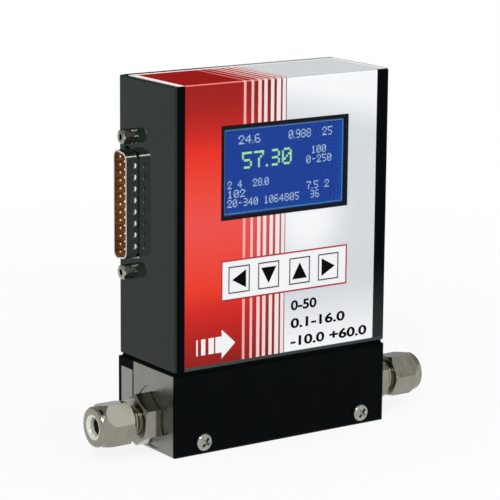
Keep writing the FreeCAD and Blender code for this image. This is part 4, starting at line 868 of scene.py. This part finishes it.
panel, panel_tree, panel_shader = new_material("display_blue", specular=0.0, others={
    "Emission Strength": 0.22, "Roughness": 0.35})
panel_place, _, panel_x, panel_y = front_places(panel_tree)
glow_right, glow_top, glow_foot = 4.0, 1.4, 2.4
panel_edge = either(
    map_range(panel_x, screen_right - glow_right, screen_right, smooth="SMOOTHSTEP"),
    map_range(panel_y, screen_top + glow_top, screen_top, smooth="SMOOTHSTEP"),
    map_range(panel_y, screen_foot - glow_foot, screen_foot, smooth="SMOOTHSTEP"))
cells_per_metre, cell_gap, gap_soft = 2380.0, 0.12, 0.04
panel_cell = vector_maths("MULTIPLY", panel_place, (cells_per_metre,) * 3)
panel_parts = add_node(panel_tree, "ShaderNodeSeparateXYZ",
                       {"Vector": vector_maths("FRACTION", panel_cell)}).outputs
panel_gap = both(past(panel_parts["X"], cell_gap, gap_soft),
                 past(panel_parts["Z"], cell_gap, gap_soft))
panel_colour = blend(panel_gap, blend(panel_edge, (19, 49, 126), (7, 64, 138)),
                     blend(panel_edge, (23, 57, 140), (8, 72, 150)))
wire_up(panel_shader, {"Base Color": panel_colour, "Emission Color": panel_colour})
dress(panel, "display_panel")


def lit(name, colour, strength):
    """Lit pixels, or a glowing painted highlight: their own colour, and a little light."""
    material, tree, shader = new_material(name, specular=0.0, others={
        "Emission Strength": strength, "Roughness": 0.5})
    shade = tuple(int(channel * 0.86) for channel in colour)
    mixed = blend(map_range(noise(object_place(tree), 700.0), 0.3, 0.7), shade, colour)
    wire_up(shader, {"Base Color": mixed, "Emission Color": mixed})
    return material


pale_pixels = lit("pale_pixels", (164, 194, 212), 0.26)
green_pixels = lit("green_pixels", (150, 216, 140), 0.38)

# Digits are strokes of square pixels, five by seven, and stand six apart.
DIGIT_ROWS, DIGIT_STEP = 7, 6
STROKES = {"top": [(1, 6), (2, 6), (3, 6)], "mid": [(1, 3), (2, 3), (3, 3)],
           "foot": [(1, 0), (2, 0), (3, 0)], "upper left": [(0, 4), (0, 5)],
           "lower left": [(0, 1), (0, 2)], "upper right": [(4, 4), (4, 5)],
           "lower right": [(4, 1), (4, 2)], "left joint": [(0, 3)], "right joint": [(4, 3)],
           "stem": [(2, y) for y in range(1, 7)], "flag": [(1, 5)],
           "slash": [(1, 2), (2, 3), (3, 4)], "bend": [(1, 1), (2, 2), (3, 3)],
           "bar": [(x, 2) for x in range(5)], "post": [(3, y) for y in range(7)],
           "ramp": [(0, 3), (1, 4), (2, 5)], "wide top": [(0, 6), (4, 6)],
           "wide foot": [(0, 0), (4, 0)],
           "fall": [(4, 5), (3, 4), (2, 3), (2, 2), (2, 1), (2, 0)]}
BOWL = ["upper left", "lower left", "upper right", "lower right"]
DIGITS = {"0": BOWL + ["top", "foot", "left joint", "right joint", "slash"],
          "1": ["stem", "flag", "foot"],
          "2": ["upper left", "top", "upper right", "bend", "foot", "wide foot"],
          "3": ["top", "upper right", "mid", "lower right", "foot"], "4": ["post", "bar", "ramp"],
          "5": ["wide top", "top", "upper left", "mid", "lower right", "foot"],
          "6": ["top", "upper left", "left joint", "lower left", "mid", "lower right", "foot"],
          "7": ["wide top", "top", "fall"], "8": BOWL + ["top", "mid", "foot"],
          "9": ["foot", "lower right", "right joint", "upper right", "top", "upper left", "mid"],
          "-": ["mid"], " ": []}


def lit_cells(text):
    """The lit pixels of a number, as columns and rows."""
    cells = []
    column = 0
    for sign in text:
        if sign == ".":
            cells.append((column, 0))
            column += 2
            continue
        cells += [(column + x, y) for stroke in DIGITS[sign] for x, y in STROKES[stroke]]
        column += DIGIT_STEP
    return sorted(set(cells))


def light_shapes(name, outlines, material):
    """Lit shapes just before the panel."""
    lay_flat(name, outlines, material, "display_blue", panel_front, near=0.01, far=0.06)


def show_number(name, text, x, y, height, material, stretch):
    """A number on the screen: left end, base line and height, and how wide its dots are."""
    dot = height / DIGIT_ROWS
    half_gap = dot * 0.03
    outlines = []
    for column, row in lit_cells(text):
        x0 = x + column * dot * stretch
        y0 = y - row * dot
        outlines.append(bar(x0 + half_gap, y0 - dot + half_gap, x0 + dot * stretch - half_gap,
                            y0 - half_gap))
    light_shapes(name, outlines, material)


for name, text, x, y, height, material, stretch in (
        ("reading_upper_left", "24.6", 25.7, 21.8, 3.0, pale_pixels, 1.1),
        ("reading_upper_right", "0.988  25", 46.4, 21.7, 3.0, pale_pixels, 0.88),
        ("reading_main", "57.30", 27.1, 30.4, 5.8, green_pixels, 1.0),
        ("reading_scale", "100", 56.1, 27.6, 2.7, pale_pixels, 0.95),
        ("reading_span", "0-250", 54.0, 30.9, 2.7, pale_pixels, 0.96),
        ("reading_line_1", "2 4  28.0", 21.3, 36.8, 2.7, pale_pixels, 0.9),
        ("reading_line_2", "102", 21.3, 40.0, 2.7, pale_pixels, 1.1),
        ("reading_total", "7.5 2", 54.2, 40.0, 2.7, pale_pixels, 1.0),
        ("reading_line_3", "20-340 1064805  36", 21.3, 43.2, 2.7, pale_pixels, 0.93)):
    show_number(name, text, x, y, height, material, stretch)
# A painted highlight of the lens edge: glowing strips just inside the frame.
rim_margin, rim_width = 0.3, 0.28
light_shapes("screen_rim", rim(screen_left + rim_margin, screen_top + rim_margin,
                               screen_right - rim_margin, screen_foot - rim_margin, rim_width),
             lit("rim_pixels", (96, 138, 176), 0.2))


# ---------------------------------------------------------------- Plug
# A 25-way D plug on the left side: a drawn, tin-plated shell with dimples, a copper-brown
# moulding, gold pins with rounded tips, and two hexagon screw locks.
tin_plate = ground("tin_plate", (224, 227, 221), (202, 205, 198), (1400, 1400, 500), 0.15, 0.08,
                   0.10)
dress(tin_plate, "connector_rear_shell")
shell_mesh = nodes["connector_shell"].data.copy()
form = bmesh.new()
form.from_mesh(shell_mesh)
bmesh.ops.remove_doubles(form, verts=form.verts, dist=0.001 * MM)
shell = new_piece("plug_shell", close_form(form, shell_mesh), tin_plate)
low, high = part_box("connector_shell")
middle = (low + high) / 2
dimples, dimple_pitch, dimple_reach, shell_width = 8, 4.0, 3.0, 8.36
ball_radius, ball_out = 1.75, shell_width / 2 + 1.41
form = bmesh.new()
bmesh.ops.create_uvsphere(form, u_segments=40, v_segments=24, radius=ball_radius * MM)
ball = new_piece("dimple_punch", close_form(form, "dimple_punch"))
places = [(low.x + dimple_reach * MM, middle.y + side * ball_out * MM,
           middle.z + (index - (dimples - 1) / 2) * dimple_pitch * MM)
          for side in (-1, 1) for index in range(dimples)]
balls = set_pieces("dimple_punches", ball, places, (0, 0, 0), tin_plate)
cut_away(shell, balls)
# The copy still has the CAD piece's own shading, which no longer fits.
for label in ("custom_normal", "sharp_edge", "sharp_face"):
    if label in shell.data.attributes:
        shell.data.attributes.remove(shell.data.attributes[label])
shell.data.shade_smooth()
shell.data.set_sharp_from_angle(angle=math.radians(32))
even_flats(shell, weight=100)
hand_over(shell, "plug_shell_steel", "connector_shell")
bpy.data.objects.remove(balls)
bpy.data.objects.remove(ball)
dress(coated("plug_moulding", (186, 122, 88), (150, 90, 60), 2600, 0.5, 0.15, 0.25, specular=0.3),
      "connector_insulator")

gold_plate = ground("gold_plate", (252, 220, 178), (232, 186, 136), (2600, 500, 500), 0.22, 0.12,
                    0.1)
pin_profile = [(0.0, 0.0), (0.0, 0.5), (14.7, 0.5), (14.95, 0.47), (15.15, 0.4), (15.28, 0.27),
               (15.34, 0.12), (15.35, 0.0)]
pin_length, pin_pitch, half_row_pitch = 15.35, 2.77, 1.42
to_left = (0, -math.pi / 2, 0)
pin = new_piece("pin", lathe("pin", pin_profile, 20))
low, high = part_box("connector_pins")
middle = (low + high) / 2
places = [(low.x + pin_length * MM, middle.y + offset * MM,
           middle.z + (index - (count - 1) / 2) * pin_pitch * MM)
          for count, offset in ((13, half_row_pitch), (12, -half_row_pitch))
          for index in range(count)]
hand_over(set_pieces("plug_pins", pin, places, to_left, gold_plate), "gold_pins", "connector_pins")
bpy.data.objects.remove(pin)

lock_steel = ground("bright_lock_steel", (172, 172, 164), (140, 140, 132), (1800, 300, 300), 0.10,
                    0.06, 0.06)
lock_profile = [(-5.0, 0.0), (-5.0, 1.4), (0.0, 1.4), (0.0, 2.45), (0.25, 2.72), (3.9, 2.78),
                (4.35, 2.5), (4.65, 2.1), (4.8, 1.6), (4.8, 1.3), (4.45, 1.1), (1.2, 1.1),
                (1.2, 0.0)]
lock_length, lock_flats = 4.8, 4.8
blank = lathe("lock", lock_profile, 72)
lock = new_piece("lock", mill_flats(blank, lock_flats, first=0), lock_steel)
round_edges(lock, 0.08)
low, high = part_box("jackscrews")
lock_x = low.x + lock_length * MM
lock_z = high.z - lock_flats / 2 / math.cos(math.radians(30)) * MM
places = [(lock_x, middle.y, lock_z), (lock_x, middle.y, 2 * middle.z - lock_z)]
hand_over(set_pieces("screw_locks", lock, places, to_left, lock_steel, crease=14), "lock_steel",
          "jackscrews")
bpy.data.objects.remove(lock)


# ---------------------------------------------------------------- Inside the housing
# Boards, sensors, chassis and fasteners behind the closed walls, each in its usual finish.
dress(coated("board_green", (28, 84, 52), (20, 64, 40), 900, 0.4, 0.12, 0.15, coat=0.4),
      "main_board", "display_board", "sensor_board")
dress(coated("chip_black", (26, 26, 28), (18, 18, 20), 3000, 0.6, 0.1, 0.3), "board_chips",
      "stacking_connector", "differential_sensor")
dress(ground("can_aluminium", (190, 191, 193), (168, 169, 171), (400, 400, 2600), 0.3, 0.1, 0.1),
      "board_capacitors", "absolute_sensor")
dress(ground("chassis_zinc", (172, 173, 170), (150, 151, 148), (100, 1800, 1800), 0.38, 0.14, 0.2),
      "chassis", "temperature_sensor", "laminar_element", "element_rings")
dress(ground("spacer_brass", (200, 170, 100), (170, 140, 78), (400, 2400, 400), 0.3, 0.12, 0.15),
      "board_spacers")
dress(zinc_plate, "chassis_screws", "board_screws", "spacer_screws", "cover_screws", "cover_nuts",
      "jackscrew_nuts")
dress(ground("spring_steel", (170, 171, 172), (150, 151, 152), (900, 900, 900), 0.28, 0.1, 0.1),
      "key_domes")
dress(coated("seal_rubber", (24, 24, 25), (18, 18, 19), 4200, 0.7, 0.1, 0.4, specular=0.2),
      "sensor_seals")
dress(coated("keypad_laminate", (214, 216, 214), (198, 200, 198), 1500, 0.5, 0.1, 0.1),
      "keypad_spacer", "keypad_backing")
